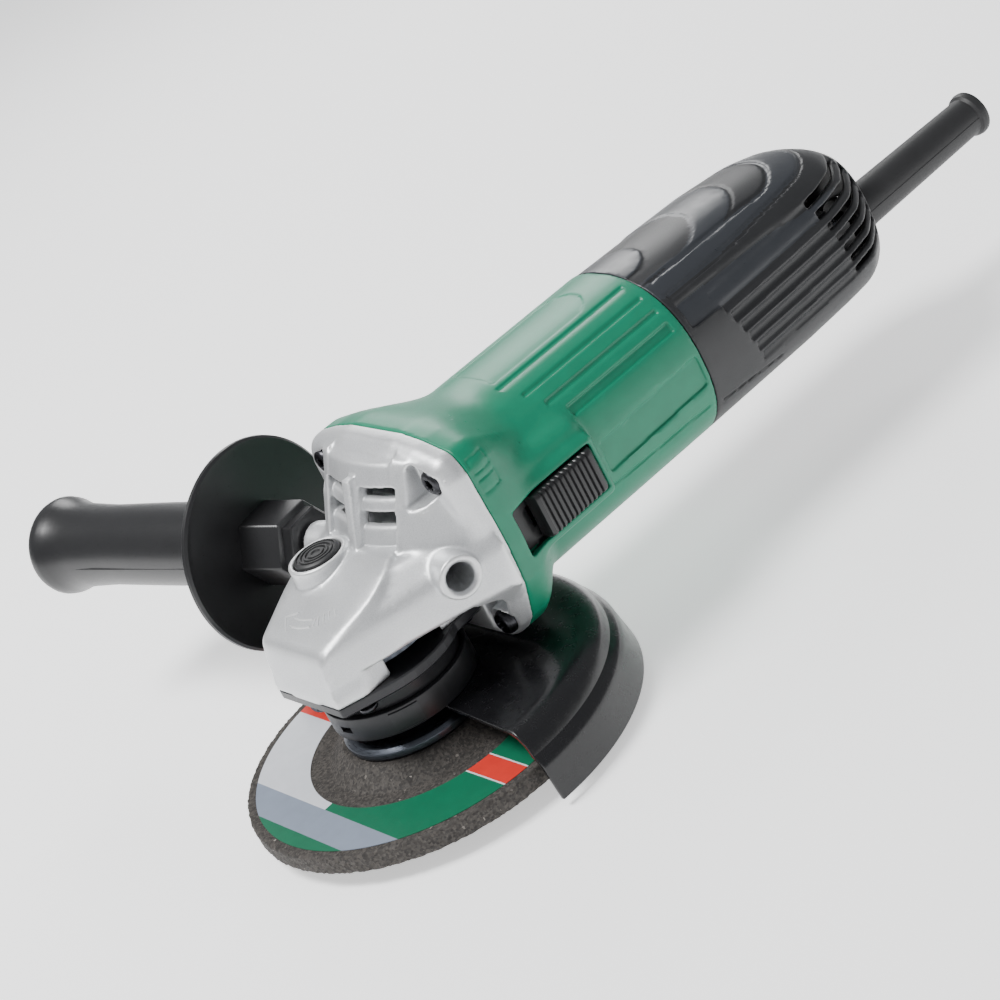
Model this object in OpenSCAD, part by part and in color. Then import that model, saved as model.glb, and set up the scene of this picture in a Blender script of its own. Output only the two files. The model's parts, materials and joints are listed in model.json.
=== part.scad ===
// Small corded angle grinder with a 115 mm grinding wheel, guard and side handle.
// The origin is the free end of the wheel spindle, on its axis. +Z runs up the spindle,
// +X runs back along the motor, and +Y is the side that the handle is screwed into.

/* [Drive] */
// Height of the motor axis above the spindle's free end
motor_z = 57; // [57:0.5:60]
// Teeth on the bevel gear on the spindle
gear_teeth = 37; // [33:1:41]
// Teeth on the bevel pinion on the motor shaft
pinion_teeth = 10; // [9:1:11]
// Pitch radius of the bevel gear at its outer edge
gear_r = 20.5; // [19.5:0.25:20.5]
// Face width of the bevel teeth
tooth_w = 7; // [5:0.5:7]

/* [Wheel] */
// Outside diameter of the grinding wheel
wheel_d = 115; // [100:5:115]
// Thickness of the grinding wheel
wheel_t = 6; // [4:0.5:6]
// Diameter of the wheel's bore
wheel_bore_d = 22.23; // [22.23:0.01:22.23]
// How far the wheel's centre is raised above its rim
wheel_dish = 4.3; // [3:0.1:4.3]
// Nominal diameter of the spindle thread
spindle_d = 14; // [14:1:14]
// Radius of the washer that backs the wheel
washer_r = 22.5; // [20:0.5:22.5]

/* [Guard] */
// Outside radius of the guard's skirt
guard_r = 65.5; // [62:0.5:66]
// Angle that the guard covers
guard_angle = 186; // [170:1:190]
// Thickness of the guard's sheet
guard_t = 1.6; // [1.4:0.1:2]
// Outside radius of the guard's clamp collar
collar_r = 23; // [22.6:0.1:23.5]

/* [Gear case] */
// Distance from the spindle axis forward to the foot of the nose
nose_x = 27.1; // [27:0.1:28]
// Distance from the spindle axis back to the joint with the motor housing
flange_x = 32; // [32:0.5:32]
// Height of the flat roof over the air outlet, above the motor axis
roof_h = 33; // [32:0.5:33.5]
// Depth of the gear case's open foot below the motor axis
foot_h = 16.1; // [16.1:0.1:16.5]

/* [Motor housing] */
// Half width of the barrel
barrel_a = 30.4; // [30.4:0.1:31]
// Half height of the barrel
barrel_b = 29; // [29:0.1:30]
// Wall of the plastic housings
wall = 2; // [1.8:0.1:2]
// Distance from the spindle axis to the joint with the tail cover
seam_x = 120; // [120:0.5:120]

/* [Tail cover] */
// Distance from the spindle axis to the end of the tail cover
tail_x = 214; // [213:1:216]
// Depth of the cord's axis below the motor axis
cord_drop = 11; // [10:0.5:12]
// Length of the cord guard outside the tail cover
cord_guard_l = 61; // [50:1:65]

/* [Side handle] */
// Distance from the spindle axis back to the handle sockets
socket_x = 15.2; // [15.2:0.1:15.2]
// Distance from the middle plane to the mouth of a handle socket
socket_y = 36.8; // [36.8:0.1:37]
// Height of the handle sockets above the motor axis
socket_h = 1.6; // [1.2:0.1:2]
// Lean of the handle towards the nose
handle_lean = 13; // [10:0.5:14]
// Length of the handle from the socket to its end
handle_l = 125; // [115:1:130]
// Radius of the handle's grip
grip_r = 13; // [12:0.5:14]
// Radius of the handle's hand shield
shield_r = 32.5; // [30:0.5:34]

/* [Controls] */
// Travel of the slide switch from off to on
switch_travel = 7; // [6:0.5:7]
// Travel of the spindle lock button
lock_travel = 3.2; // [3:0.1:3.2]

/* [Hidden] */
$fn = 64;
fit = 0.05;                       // radial running clearance
gap = 0.3;                        // space between faces that pass each other

// Heights along the spindle, from its free end
nut_z = 4;                        // underside of the wheel nut
hub_z = nut_z + 5;                // underside of the wheel's centre
seat_z = hub_z + wheel_t;         // top of the wheel's centre, where the washer sits
shoulder_z = seat_z + 6;          // spindle shoulder that carries the washer
guard_z = shoulder_z + 0.6;       // underside of the guard's flat top
neck_z = guard_z + guard_t + 0.1; // lower end of the bearing cover's neck
bearing_z = 27;                   // underside of the spindle bearing
bearing_w = 10;                   // width of the spindle bearing
cover_t = 3.7;                    // thickness of the bearing cover's plate
foot_z = motor_z - foot_h;        // joint between the gear case and the bearing cover
spindle_r = spindle_d / 2;
free_l = nut_z - 0.3;             // length of the spindle's free end, below the nut
journal_r = 6;                    // spindle radius in its bearing and gear
top_r = 4;                        // spindle radius in its top bush
bush_z = motor_z - 2.5;           // underside of the top bush
bush_h = 7;
neck_r = collar_r - 1.95;         // bearing cover's neck, inside the clamp collar

// The bevel pair: its pitch cones meet where the two axes cross
ratio = gear_teeth / pinion_teeth;
pinion_cone = atan(1 / ratio);
gear_cone = 90 - pinion_cone;
cone_r = gear_r / sin(gear_cone);
tooth_m = 2 * gear_r / gear_teeth;
pressure = 20;
shift = 0.35;                     // profile shift, in modules
backlash = 0.13;                  // taken off each tooth's thickness
web_z = motor_z - 7;              // top of the gear's web
gear_foot_z = 44;                 // underside of the gear's rim

// The spindle lock, beside the spindle
lock_x = 1.5;
lock_y = 10.5;
lock_r = norm([lock_x, lock_y]);
lock_angle = atan2(lock_y, lock_x);
lock_pin_r = 2.5;
button_r = 7.2;
button_top = motor_z + 12.8;
button_h = 3.2;
boss_top = motor_z + 12;
pocket_z = button_top - button_h - lock_travel - 1; // floor of the button's pocket
pin_tip_z = web_z + 0.8;

// Stations along the motor shaft, from the spindle axis
front_bearing_x = 26;
front_bearing_w = 8;
front_bearing_r = 13;
retainer_x = front_bearing_x + front_bearing_w;
fan_x = 38.5;
fan_w = 11.5;
fan_r = 25;
baffle_x = 53.5;
stator_x = 60;
stator_l = 50;
stator_r = 25.2;
bore_r = 15.6;
rotor_r = 15;
comm_x = 120;
comm_l = 13;
comm_r = 11;
brush_x = comm_x + 6.5;
rear_bearing_x = 140;
rear_bearing_w = 7;
rear_bearing_r = 11;
barrel_x = 62;                    // where the housing's taper reaches the barrel
shaft_end_x = 149;
tail_screw_x = 143.5;
retainer_screw_r = 18;            // of the retainer's screws from the motor axis
retainer_turns = [45, 225];
stator_screw_r = 22.4;            // of the stator's screws from the motor axis

// Ball bearings: radius of the ring of balls, and of each ball
spindle_pitch_r = 11;
spindle_ball_r = 2.4;
front_pitch_r = 8.9;
front_ball_r = 2.1;
rear_pitch_r = 7.5;
rear_ball_r = 1.8;

// The handle socket's own frame: children's +Z runs out of the socket
module in_socket(side) {
    translate([socket_x, side * socket_y, motor_z + socket_h])
        rotate([0, 0, side * handle_lean])
            rotate([-90 * side, 0, 0])
                children();
}

// Children's +Z runs along the motor axis, from the station x
module along_motor(x) {
    translate([x, 0, motor_z]) rotate([0, 90, 0]) children();
}

// A cross-section extruded along +X: its x is the model's Y, and its y is height
module slab(x, l) {
    translate([x, 0, motor_z]) rotate([90, 0, 90]) linear_extrude(l) children();
}

module mirror_y() {
    children();
    mirror([0, 1, 0]) children();
}

function squircle(a, b, n = 2.3, steps = 48) = [
    for (i = [0 : steps - 1]) let (c = cos(360 * i / steps), s = sin(360 * i / steps))
        [a * sign(c) * pow(abs(c), 2 / n), b * sign(s) * pow(abs(s), 2 / n)]
];

// A polygon with each corner turned into an arc of radius r
function rounded(p, r, steps = 4) = [
    for (i = [0 : len(p) - 1]) let (
        n = len(p),
        a = p[(i + n - 1) % n], b = p[i], c = p[(i + 1) % n],
        u = (a - b) / norm(a - b), v = (c - b) / norm(c - b),
        half = acos(u * v) / 2,
        d = min(r / tan(half), 0.45 * norm(a - b), 0.45 * norm(c - b)),
        rr = d * tan(half),
        m = (u + v) / norm(u + v),
        o = b + m * rr / sin(half),
        p0 = b + u * d - o, p1 = b + v * d - o
    )
    for (k = [0 : steps]) let (t = k / steps, q = p0 * (1 - t) + p1 * t) o + q * rr / norm(q)
];

// ---------------------------------------------------------------- shared pieces

module ring(r_in, r_out, h) {
    difference() {
        cylinder(r = r_out, h = h);
        translate([0, 0, -1]) cylinder(r = r_in, h = h + 2);
    }
}

// Rings of a ball bearing, with grooves that hold the balls
module bearing_ring(r_in, r_out, w, pitch_r, ball_r) {
    difference() {
        ring(r_in, r_out, w);
        translate([0, 0, w / 2])
            rotate_extrude() translate([pitch_r, 0]) circle(r = ball_r + fit, $fn = 24);
    }
}

module bearing_balls(w, pitch_r, ball_r, count) {
    for (i = [0 : count - 1])
        rotate(360 * i / count) translate([pitch_r, 0, w / 2]) sphere(r = ball_r, $fn = 24);
}

// A screw with a domed head, its head's seat at z = 0 and its shank along -Z
module pan_screw(shank_r, l, head_r, head_h) {
    difference() {
        union() {
            translate([0, 0, -l]) cylinder(r = shank_r, h = l + 0.1);
            cylinder(r = head_r, h = head_h * 0.55);
            translate([0, 0, head_h * 0.55]) cylinder(r1 = head_r, r2 = head_r * 0.7, h = head_h * 0.45);
        }
        for (a = [0, 90])
            rotate(a) translate([-head_r * 0.5, -0.5, head_h * 0.4]) cube([head_r, 1, head_h]);
    }
}

// ---------------------------------------------------------------- bevel gears

function inv_angle(a) = tan(a) * 180 / PI - a;

// Half angle of a virtual tooth at radius r, in degrees
function half_tooth(r, rv, rb, thick) =
    thick / (2 * rv) * 180 / PI + inv_angle(pressure)
    - (r > rb ? inv_angle(acos(rb / r)) : 0.4 * (rb - r));

// One tooth and the gap before it as [virtual radius, angle about the real axis]
function tooth_outline(teeth, cone, x) = let (
    rv = cone_r * tan(cone),
    rb = rv * cos(pressure),
    tip = rv + tooth_m * (0.95 + x),
    root = rv - tooth_m * (1.25 - x),
    thick = tooth_m * (PI / 2 + 2 * x * tan(pressure)) - backlash,
    levels = [for (k = [0 : 3]) root + (tip - root) * k / 3],
    pitch = 360 / teeth
) concat(
    [[root, -pitch / 2]],
    [for (r = levels) [r, -half_tooth(r, rv, rb, thick) / cos(cone)]],
    [for (k = [3 : -1 : 0]) [levels[k], half_tooth(levels[k], rv, rb, thick) / cos(cone)]]
);

// Point on the gear, whose axis is +Z with the pitch cone's apex at the origin
function cone_point(q, cone, turn, s) = let (
    rv = cone_r * tan(cone),
    radial = q[0] * cos(cone),
    axial = cone_r * cos(cone) - (q[0] - rv) * sin(cone),
    a = q[1] + turn
) s * [radial * cos(a), radial * sin(a), axial];

// Teeth over a full turn, closed by a wall down to radius base_in at the inner end
// and base_out at the outer end, both at the axial distances given
module bevel_crown(teeth, cone, x, base_in, base_out, z_in, z_out) {
    outline = tooth_outline(teeth, cone, x);
    k = len(outline);
    n = teeth * k;
    inner_s = (cone_r - tooth_w) / cone_r;
    outer = [for (i = [0 : n - 1]) cone_point(outline[i % k], cone, floor(i / k) * 360 / teeth, 1)];
    inner = inner_s * outer;
    function foot(p, r, z) = let (l = norm([p[0], p[1]])) [p[0] / l * r, p[1] / l * r, z];
    foot_out = [for (p = outer) foot(p, base_out, z_out)];
    foot_in = [for (p = outer) foot(p, base_in, z_in)];
    points = concat(inner, outer, foot_out, foot_in);
    polyhedron(points, [
        for (b = [0 : 3], i = [0 : n - 1]) let (
            j = (i + 1) % n,
            p = b * n, q = ((b + 1) % 4) * n
        ) each [[p + i, q + j, p + j], [p + i, q + i, q + j]]
    ], convexity = 10);
}

// ---------------------------------------------------------------- gear case

foot_outline = [
    [-nose_x, 16.6], [14, 34], [flange_x - 7, 34], [flange_x - 7, -34], [14, -34], [-nose_x, -16.6]
];
flange_outline = [
    [12, 35.5], [30, 32.5], [36.5, 25], [37, 5], [34, -12], [32, -27], [24, -31],
    [-24, -31], [-32, -27], [-34, -12], [-37, 5], [-36.5, 25], [-30, 32.5], [-12, 35.5]
];
upper_screw = [27.8, 25];
lower_screw = [26, -24];
screw_places = [upper_screw, [-upper_screw[0], upper_screw[1]],
                lower_screw, [-lower_screw[0], lower_screw[1]]];

module rounded_foot(inset, z, h) {
    translate([0, 0, z]) linear_extrude(h) polygon(rounded([
        for (p = foot_outline) [p[0] + (p[0] < 0 ? inset : 0), p[1] - sign(p[1]) * inset]
    ], 3));
}

// The nose with its sloping deck, and the shoulders round the handle sockets
module nose() {
    hull() {
        rounded_foot(0, foot_z, 1);
        mirror_y() {
            translate([-22.6, 14.2, motor_z - 2.2]) sphere(r = 2.6, $fn = 16);
            translate([5, 17.6, motor_z + 7.2]) sphere(r = 2.6, $fn = 16);
            translate([22, 31, motor_z + 5.2]) sphere(r = 3, $fn = 16);
            translate([flange_x - 6, 31, motor_z + 5.2]) sphere(r = 3, $fn = 16);
        }
    }
}

// The air outlet's block behind the deck, with its front leaning back
module outlet_block(inset, back) {
    hull() {
        for (side = [-1, 1]) {
            translate([10.5 + inset, side * (16.8 - inset), motor_z + 8])
                cylinder(r = 1.5, h = 0.5, $fn = 16);
            translate([25.8 + inset, side * (20 - inset), motor_z + roof_h - 1.5 - inset])
                cylinder(r = 1.5, h = 1.5, $fn = 16);
        }
        translate([9.8 + inset, 0, motor_z + 8]) cylinder(r = 1.5, h = 0.5, $fn = 16);
        translate([21.8 + inset, 0, motor_z + roof_h - 1.5 - inset]) cylinder(r = 1.5, h = 1.5, $fn = 16);
        translate([back - 1, -20 + inset, motor_z + 8]) cube([1, 40 - 2 * inset, roof_h - 7.5 - inset]);
    }
}

module gear_case_solid() {
    nose();
    outlet_block(0, flange_x - 2);
    slab(flange_x - 7, 7) polygon(rounded(flange_outline, 4));
    mirror_y() in_socket(1) translate([0, 0, -14]) cylinder(r = 6.5, h = 14);
    translate([lock_x, lock_y, motor_z]) cylinder(r = 9.2, h = boss_top - motor_z);
    along_motor(flange_x - 1) cylinder(r = 24, h = 3);
}

module gear_case() {
    color([0.72, 0.73, 0.74]) difference() {
        gear_case_solid();
        // gear chamber, open at the foot
        translate([0, 0, foot_z - 1]) cylinder(r = 22.3, h = foot_h - 6);
        translate([0, 0, motor_z - 7.01]) cylinder(r1 = 22.3, r2 = 20.5, h = 4);
        // pinion chamber and the front bearing's seat
        along_motor(9.3) cylinder(r = 8.2, h = 20);
        along_motor(front_bearing_x) cylinder(r = front_bearing_r, h = 20);
        // seat of the spindle's top bush, and its way in from below
        translate([0, 0, motor_z - 12]) cylinder(r = 6, h = 9.5 + bush_h);
        // pocket and guide of the spindle lock
        translate([lock_x, lock_y, pocket_z]) cylinder(r = button_r + gap, h = 20);
        translate([lock_x, lock_y, motor_z - 10]) cylinder(r = lock_pin_r + fit, h = 30);
        // air duct through the flange, and the outlet's hollow with its front slots
        outlet_block(2.4, flange_x + 4);
        translate([flange_x - 8, -17, motor_z + 16]) cube([12, 34, 14]);
        for (side = [-1, 1], h = [16, 22.6])
            translate([4, side * 9.2 - 6.8, motor_z + h]) cube([24, 13.6, 3.2]);
        // handle sockets
        mirror_y() in_socket(1) translate([0, 0, -16]) cylinder(r = 4, h = 17);
        // flange screws: their holes and the flats that their heads sit on
        for (p = screw_places) translate([0, p[0], motor_z + p[1]]) rotate([0, 90, 0]) {
            translate([0, 0, 12]) cylinder(r = 2.1, h = 30);
            translate([0, 0, 10]) cylinder(r = 4.6, h = flange_x - 5 - 10);
        }
        // blind holes for the cover's and the retainer's screws
        for (p = cover_screw_places) translate([p[0], p[1], foot_z - 1]) cylinder(r = 1.6, h = 9);
        for (a = retainer_turns) along_motor(29) rotate(a)
            translate([retainer_screw_r, 0, 0]) cylinder(r = 1.25, h = 9);
    }
}

module case_screws() {
    color([0.1, 0.1, 0.11])
        for (p = screw_places) translate([flange_x - 5, p[0], motor_z + p[1]])
            rotate([0, -90, 0]) pan_screw(2, 13.5, 4, 2.8);
}

cover_screw_places = [[-19.5, 18], [-19.5, -18], [20, 15.5], [20, -15.5]];

module bearing_cover() {
    color([0.16, 0.16, 0.17]) difference() {
        union() {
            hull() {
                rounded_foot(0.4, foot_z - 1.2, 1.2);
                rounded_foot(1.6, foot_z - cover_t, 1);
            }
            translate([0, 0, neck_z]) cylinder(r = neck_r, h = foot_z - neck_z - 1);
        }
        translate([0, 0, bearing_z]) cylinder(r = 16, h = 30);
        translate([0, 0, neck_z - 1]) cylinder(r = 12, h = 10);
        for (p = cover_screw_places) translate([p[0], p[1], foot_z - cover_t - 1]) {
            cylinder(r = 1.7, h = cover_t + 2);
            cylinder(r = 3.2, h = 3.2);
        }
    }
}

module cover_screws() {
    color([0.1, 0.1, 0.11])
        for (p = cover_screw_places) translate([p[0], p[1], foot_z - 1.5])
            rotate([180, 0, 0]) pan_screw(1.55, 8.5, 2.9, 1.9);
}

module spindle_bearing_outer() {
    color([0.75, 0.76, 0.78]) translate([0, 0, bearing_z])
        bearing_ring(12.6, 16, bearing_w, spindle_pitch_r, spindle_ball_r);
}

module spindle_bearing_inner() {
    color([0.75, 0.76, 0.78]) translate([0, 0, bearing_z])
        bearing_ring(journal_r, 9.4, bearing_w, spindle_pitch_r, spindle_ball_r);
}

module spindle_bearing_balls() {
    color([0.8, 0.8, 0.82]) translate([0, 0, bearing_z])
        bearing_balls(bearing_w, spindle_pitch_r, spindle_ball_r - fit, 9);
}

module spindle_bush() {
    color([0.7, 0.55, 0.3]) translate([0, 0, bush_z]) ring(top_r + fit, 6, bush_h);
}

module dust_seal() {
    color([0.12, 0.12, 0.12]) translate([0, 0, neck_z + 0.3]) ring(9.3, 12, bearing_z - neck_z - 0.3);
}

// ---------------------------------------------------------------- spindle and wheel

module spindle() {
    color([0.6, 0.61, 0.63]) {
        difference() {
            union() {
                cylinder(r = spindle_r, h = free_l);
                cylinder(r = spindle_r - 0.4, h = shoulder_z);
                translate([0, 0, shoulder_z]) cylinder(r = 9, h = bearing_z - shoulder_z);
                translate([0, 0, bearing_z]) cylinder(r = journal_r, h = 24.5);
                cylinder(r = top_r, h = bush_z + bush_h - 0.5);
            }
            // groove of the clip that holds the gear
            translate([0, 0, web_z + 0.2]) ring(journal_r - 0.6, journal_r + 1, 1);
            // flats for a spanner, above the thread
            for (side = [-1, 1])
                translate([side * 10 - 2, -10, shoulder_z + 3]) cube([4, 20, 2]);
        }
    }
}

module gear_clip() {
    color([0.3, 0.3, 0.32]) translate([0, 0, web_z + 0.25])
        difference() {
            ring(journal_r - 0.6, 7.4, 0.9);
            translate([5.2, -1, -1]) cube([3, 2, 3]);
        }
}

module ring_gear() {
    color([0.5, 0.5, 0.52]) difference() {
        union() {
            translate([0, 0, motor_z]) rotate([180, 0, 180 / gear_teeth])
                bevel_crown(gear_teeth, gear_cone, -shift, 12.4, 20.2,
                            motor_z - gear_foot_z, motor_z - gear_foot_z);
            translate([0, 0, gear_foot_z]) cylinder(r = 14, h = web_z - gear_foot_z);
            translate([0, 0, bearing_z + bearing_w]) cylinder(r = 8.6, h = 8);
        }
        translate([0, 0, 30]) cylinder(r = journal_r, h = 40);
        for (a = [0 : 90 : 270]) rotate(lock_angle + a) translate([lock_r, 0, web_z - 3.6])
            cylinder(r = lock_pin_r + 0.3, h = 10);
    }
}

module wheel_washer() {
    color([0.22, 0.23, 0.25]) difference() {
        union() {
            translate([0, 0, seat_z]) rotate_extrude() polygon([
                [5, 0], [washer_r - 0.6, 0], [washer_r, 0.6], [washer_r, 2.6],
                [washer_r - 2.2, 4.4], [12.5, 4.4], [12.5, 6], [5, 6]
            ]);
            translate([0, 0, seat_z - 2.4]) cylinder(r = 11, h = 3);
        }
        translate([0, 0, seat_z - 5]) cylinder(r = spindle_r + 0.02, h = 20);
    }
}

rim_r = wheel_d / 2;
rim_z = hub_z - wheel_dish;       // underside of the wheel's rim

module grinding_wheel() {
    color([0.17, 0.15, 0.14]) translate([0, 0, rim_z]) rotate_extrude($fn = 128) polygon([
        [12.4, wheel_dish], [22, wheel_dish], [29, 0], [rim_r - 0.4, 0], [rim_r, 0.4],
        [rim_r, wheel_t - 0.4], [rim_r - 0.4, wheel_t], [30.5, wheel_t],
        [24, wheel_t + wheel_dish], [12.4, wheel_t + wheel_dish]
    ]);
}

module wheel_label() {
    color([0.05, 0.4, 0.27]) translate([0, 0, rim_z + wheel_t]) ring(36.5, rim_r - 3, 0.3);
}

module wheel_bore_ring() {
    color([0.7, 0.68, 0.6]) translate([0, 0, hub_z]) ring(wheel_bore_d / 2, 12.4, wheel_t);
}

module wheel_nut() {
    color([0.2, 0.2, 0.22]) difference() {
        union() {
            translate([0, 0, nut_z]) rotate_extrude() polygon([
                [5, 0], [17, 0], [19.5, 2.2], [19.5, 5], [5, 5]
            ]);
            translate([0, 0, hub_z - 1]) cylinder(r = 11, h = 3.4);
        }
        translate([0, 0, -1]) cylinder(r = spindle_r + 0.02, h = 20);
        for (a = [0 : 90 : 270]) rotate(a) translate([14.2, 0, nut_z - 1]) cylinder(r = 2.4, h = 4.5);
    }
}

// ---------------------------------------------------------------- guard

lug_angle = 120;                  // where the clamp's lugs stand

module guard_shell() {
    half = guard_angle / 2;
    r_top = guard_r - 7;
    color([0.07, 0.07, 0.075]) translate([0, 0, guard_z]) difference() {
        rotate(-half) rotate_extrude(angle = guard_angle, $fn = 128) {
            translate([neck_r + 0.4, 0]) square([r_top - neck_r - 0.4, guard_t]);
            translate([r_top, guard_t - 7]) intersection() {
                difference() {
                    circle(r = 7, $fn = 32);
                    circle(r = 7 - guard_t, $fn = 32);
                }
                square(10);
            }
            translate([guard_r - guard_t, 2 - guard_z]) square([guard_t, guard_z - 2 + guard_t - 7]);
        }
    }
}

module guard_collar() {
    color([0.13, 0.14, 0.15]) difference() {
        union() {
            translate([0, 0, neck_z - 0.1]) ring(neck_r + fit, collar_r, 8);
            rotate(lug_angle) for (side = [-1, 1])
                translate([neck_r + 0.5, side * 2.4 - 0.9, neck_z - 0.1]) cube([8.5, 1.8, 7]);
        }
        rotate(lug_angle) translate([18, -1.5, neck_z - 2]) cube([8, 3, 12]);
        rotate(lug_angle) translate([collar_r + 3.4, -6, neck_z + 3.4])
            rotate([-90, 0, 0]) cylinder(r = 2.1, h = 12);
        // small rectangular slot in the front of the band
        rotate(187) translate([neck_r - 1, -2, neck_z + 3]) cube([5, 4, 1.6]);
    }
}

module guard_screw() {
    color([0.35, 0.35, 0.37]) rotate(lug_angle)
        translate([collar_r + 3.4, 3.3, neck_z + 3.4]) rotate([-90, 0, 0]) {
            pan_screw(2, 10, 3.1, 2.4);
            translate([0, 0, -9.1]) cylinder(r = 3.1, h = 2.4, $fn = 6);
        }
}

// ---------------------------------------------------------------- spindle lock

module lock_button() {
    color([0.1, 0.1, 0.1]) translate([lock_x, lock_y, button_top - button_h]) difference() {
        union() {
            cylinder(r = button_r, h = button_h - 0.6);
            cylinder(r1 = button_r, r2 = button_r - 0.8, h = button_h);
        }
        for (r = [5.8, 4.2, 2.6])
            translate([0, 0, button_h - 0.5]) ring(r - 0.3, r + 0.3, 1);
        translate([0, 0, -1]) ring(lock_pin_r + 0.4, 5.6, 2.6);
        translate([0, 0, -1]) cylinder(r = lock_pin_r - 0.3, h = 2.8);
    }
}

module lock_pin() {
    color([0.7, 0.7, 0.72]) translate([lock_x, lock_y, 0]) {
        translate([0, 0, pin_tip_z]) cylinder(r = lock_pin_r, h = button_top - button_h - pin_tip_z);
        translate([0, 0, button_top - button_h - 1]) cylinder(r = lock_pin_r - 0.3, h = 2.8);
    }
}

module lock_spring() {
    spring_h = button_top - button_h + 1.6 - pocket_z;
    turns = 3;
    steps = 16;
    n = turns * steps;
    wire = 0.35;
    color([0.65, 0.65, 0.68]) translate([lock_x, lock_y, pocket_z])
        polyhedron_helix(4.6, wire, spring_h - 2 * wire, turns, n);
}

// A round wire wound in a helix of radius r, from z = wire to z = wire + h
module polyhedron_helix(r, wire, h, turns, n) {
    sides = 6;
    tube_faces([for (i = [0 : n], k = [0 : sides - 1]) let (
        a = 360 * turns * i / n, q = 360 * k / sides, d = r + wire * cos(q)
    ) [d * cos(a), d * sin(a), wire + h * i / n + wire * sin(q)]], n, sides);
}

// The closed tube over n + 1 rings of points
module tube_faces(points, n, sides) {
    polyhedron(points, concat(
        [[for (k = [0 : sides - 1]) k]],
        [for (i = [0 : n - 1], k = [0 : sides - 1]) let (
            j = (k + 1) % sides, p = i * sides, q = p + sides
        ) each [[p + k, q + k, q + j], [p + k, q + j, p + j]]],
        [[for (k = [sides - 1 : -1 : 0]) n * sides + k]]
    ), convexity = 10);
}

// ---------------------------------------------------------------- motor housing

tray_h = -11;                     // top of the tray under the switch, from the motor axis
switch_h = -1;                    // middle of the switch knob and bar, from the motor axis
knob_x = 58.2;                    // middle of the switch knob when it is off
knob_l = 24.5;
knob_h = 14;
knob_floor_y = -31;               // floor of the knob's recess
bar_y = -27.5;                    // outer face of the switch bar
bar_t = 1.4;
knob_lift = 0.9;                  // the knob rocks above its floor by this much
rock_y = -28.5;                   // axis that the knob rocks on

module housing_outer(inset) {
    hull() {
        slab(flange_x - (inset > 0 ? 0.5 : 0), 3) polygon(rounded([
            for (p = flange_outline) p * (1 - inset / 34)
        ], 4));
        slab(barrel_x, 1) polygon(squircle(barrel_a - inset, barrel_b - inset));
    }
    slab(barrel_x, seam_x - barrel_x + (inset > 0 ? 1 : 0))
        polygon(squircle(barrel_a - inset, barrel_b - inset));
}

// A wall across the inside of the barrel with a round hole
module inner_wall(x, l, hole_r) {
    difference() {
        slab(x, l) polygon(squircle(barrel_a - wall + 0.5, barrel_b - wall + 0.5));
        along_motor(x - 1) cylinder(r = hole_r, h = l + 2);
    }
}

// The stop in front of the stator, which reaches out to the tapered wall
module stator_stop() {
    difference() {
        intersection() {
            housing_outer(wall - 0.5);
            translate([56, -50, 0]) cube([4, 100, 2 * motor_z]);
        }
        along_motor(50) cylinder(r = 20, h = 20);
    }
}

// Bearing bridge and tray behind the barrel, inside the tail cover
module rear_frame() {
    spigot_a = barrel_a - wall - 0.2 - gap;
    spigot_b = barrel_b - wall - 0.2 - gap;
    difference() {
        slab(seam_x - 0.5, 5) polygon(squircle(spigot_a, spigot_b));
        slab(seam_x - 1, 7) polygon(squircle(spigot_a - 1.8, spigot_b - 1.8));
    }
    for (side = [-1, 1])
        translate([seam_x - 1, side * 21.5 - 2.5, motor_z - 5]) cube([31, 5, 10]);
    translate([147.3, -21.4, motor_z - 15]) cube([2.7, 42.8, 32]);
    along_motor(rear_bearing_x - 1) cylinder(r = 15.5, h = 10);
    translate([tail_screw_x, 0, motor_z - 26.3]) cylinder(r = 3.6, h = 12);
    translate([149, -22, motor_z + tray_h - 2]) cube([39, 42, 2]);
}

module motor_housing() {
    color([0.02, 0.46, 0.33]) difference() {
        union() {
            difference() {
                union() {
                    housing_outer(0);
                    // raised surround of the switch knob
                    translate([36, -34.6, motor_z + switch_h - 10.5]) cube([37, 8, 21]);
                }
                housing_outer(wall);
            }
            intersection() {
                housing_outer(0);
                for (p = screw_places) translate([flange_x, p[0], motor_z + p[1]])
                    rotate([0, 90, 0]) cylinder(r = 4.4, h = 10);
            }
            stator_stop();
            inner_wall(62, 4, stator_r + fit);
            inner_wall(104, 4, stator_r + fit);
            inner_wall(117, 2.5, 17);
            rear_frame();
        }
        // screw holes, the stator screws and the tail screw
        for (p = screw_places) translate([flange_x - 1, p[0], motor_z + p[1]])
            rotate([0, 90, 0]) cylinder(r = 2, h = 10.5);
        for (side = [-1, 1]) translate([50, 0, motor_z + side * stator_screw_r])
            rotate([0, 90, 0]) cylinder(r = 1.7, h = 12);
        translate([tail_screw_x, 0, motor_z - 27]) cylinder(r = 1.6, h = 8);
        // rear bearing's seat
        along_motor(rear_bearing_x - 2) cylinder(r = rear_bearing_r + 1.5, h = rear_bearing_w + 2);
        along_motor(rear_bearing_x) cylinder(r = 9, h = 20);
        // way through for the switch bar
        translate([40, bar_y - 0.5, motor_z + switch_h - 3.6]) cube([100, 2.6, 7.2]);
        // recess of the knob, and the slot that its stem runs in
        translate([knob_x + knob_l / 2 + 0.5 - knob_l - switch_travel - 1, -40,
                   motor_z + switch_h - knob_h / 2 - 0.5])
            cube([knob_l + switch_travel + 1, 40 + knob_floor_y, knob_h + 1]);
        translate([knob_x - 5.4 - switch_travel, -40, motor_z + switch_h - 3.3])
            cube([10.8 + switch_travel, 14, 6.6]);
    }
}

module fan_baffle() {
    color([0.12, 0.12, 0.13]) along_motor(baffle_x) ring(19.6, 25.9, 2.5);
}

module front_bearing_outer() {
    color([0.75, 0.76, 0.78]) along_motor(front_bearing_x)
        bearing_ring(10.6, front_bearing_r, front_bearing_w, front_pitch_r, front_ball_r);
}

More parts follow.
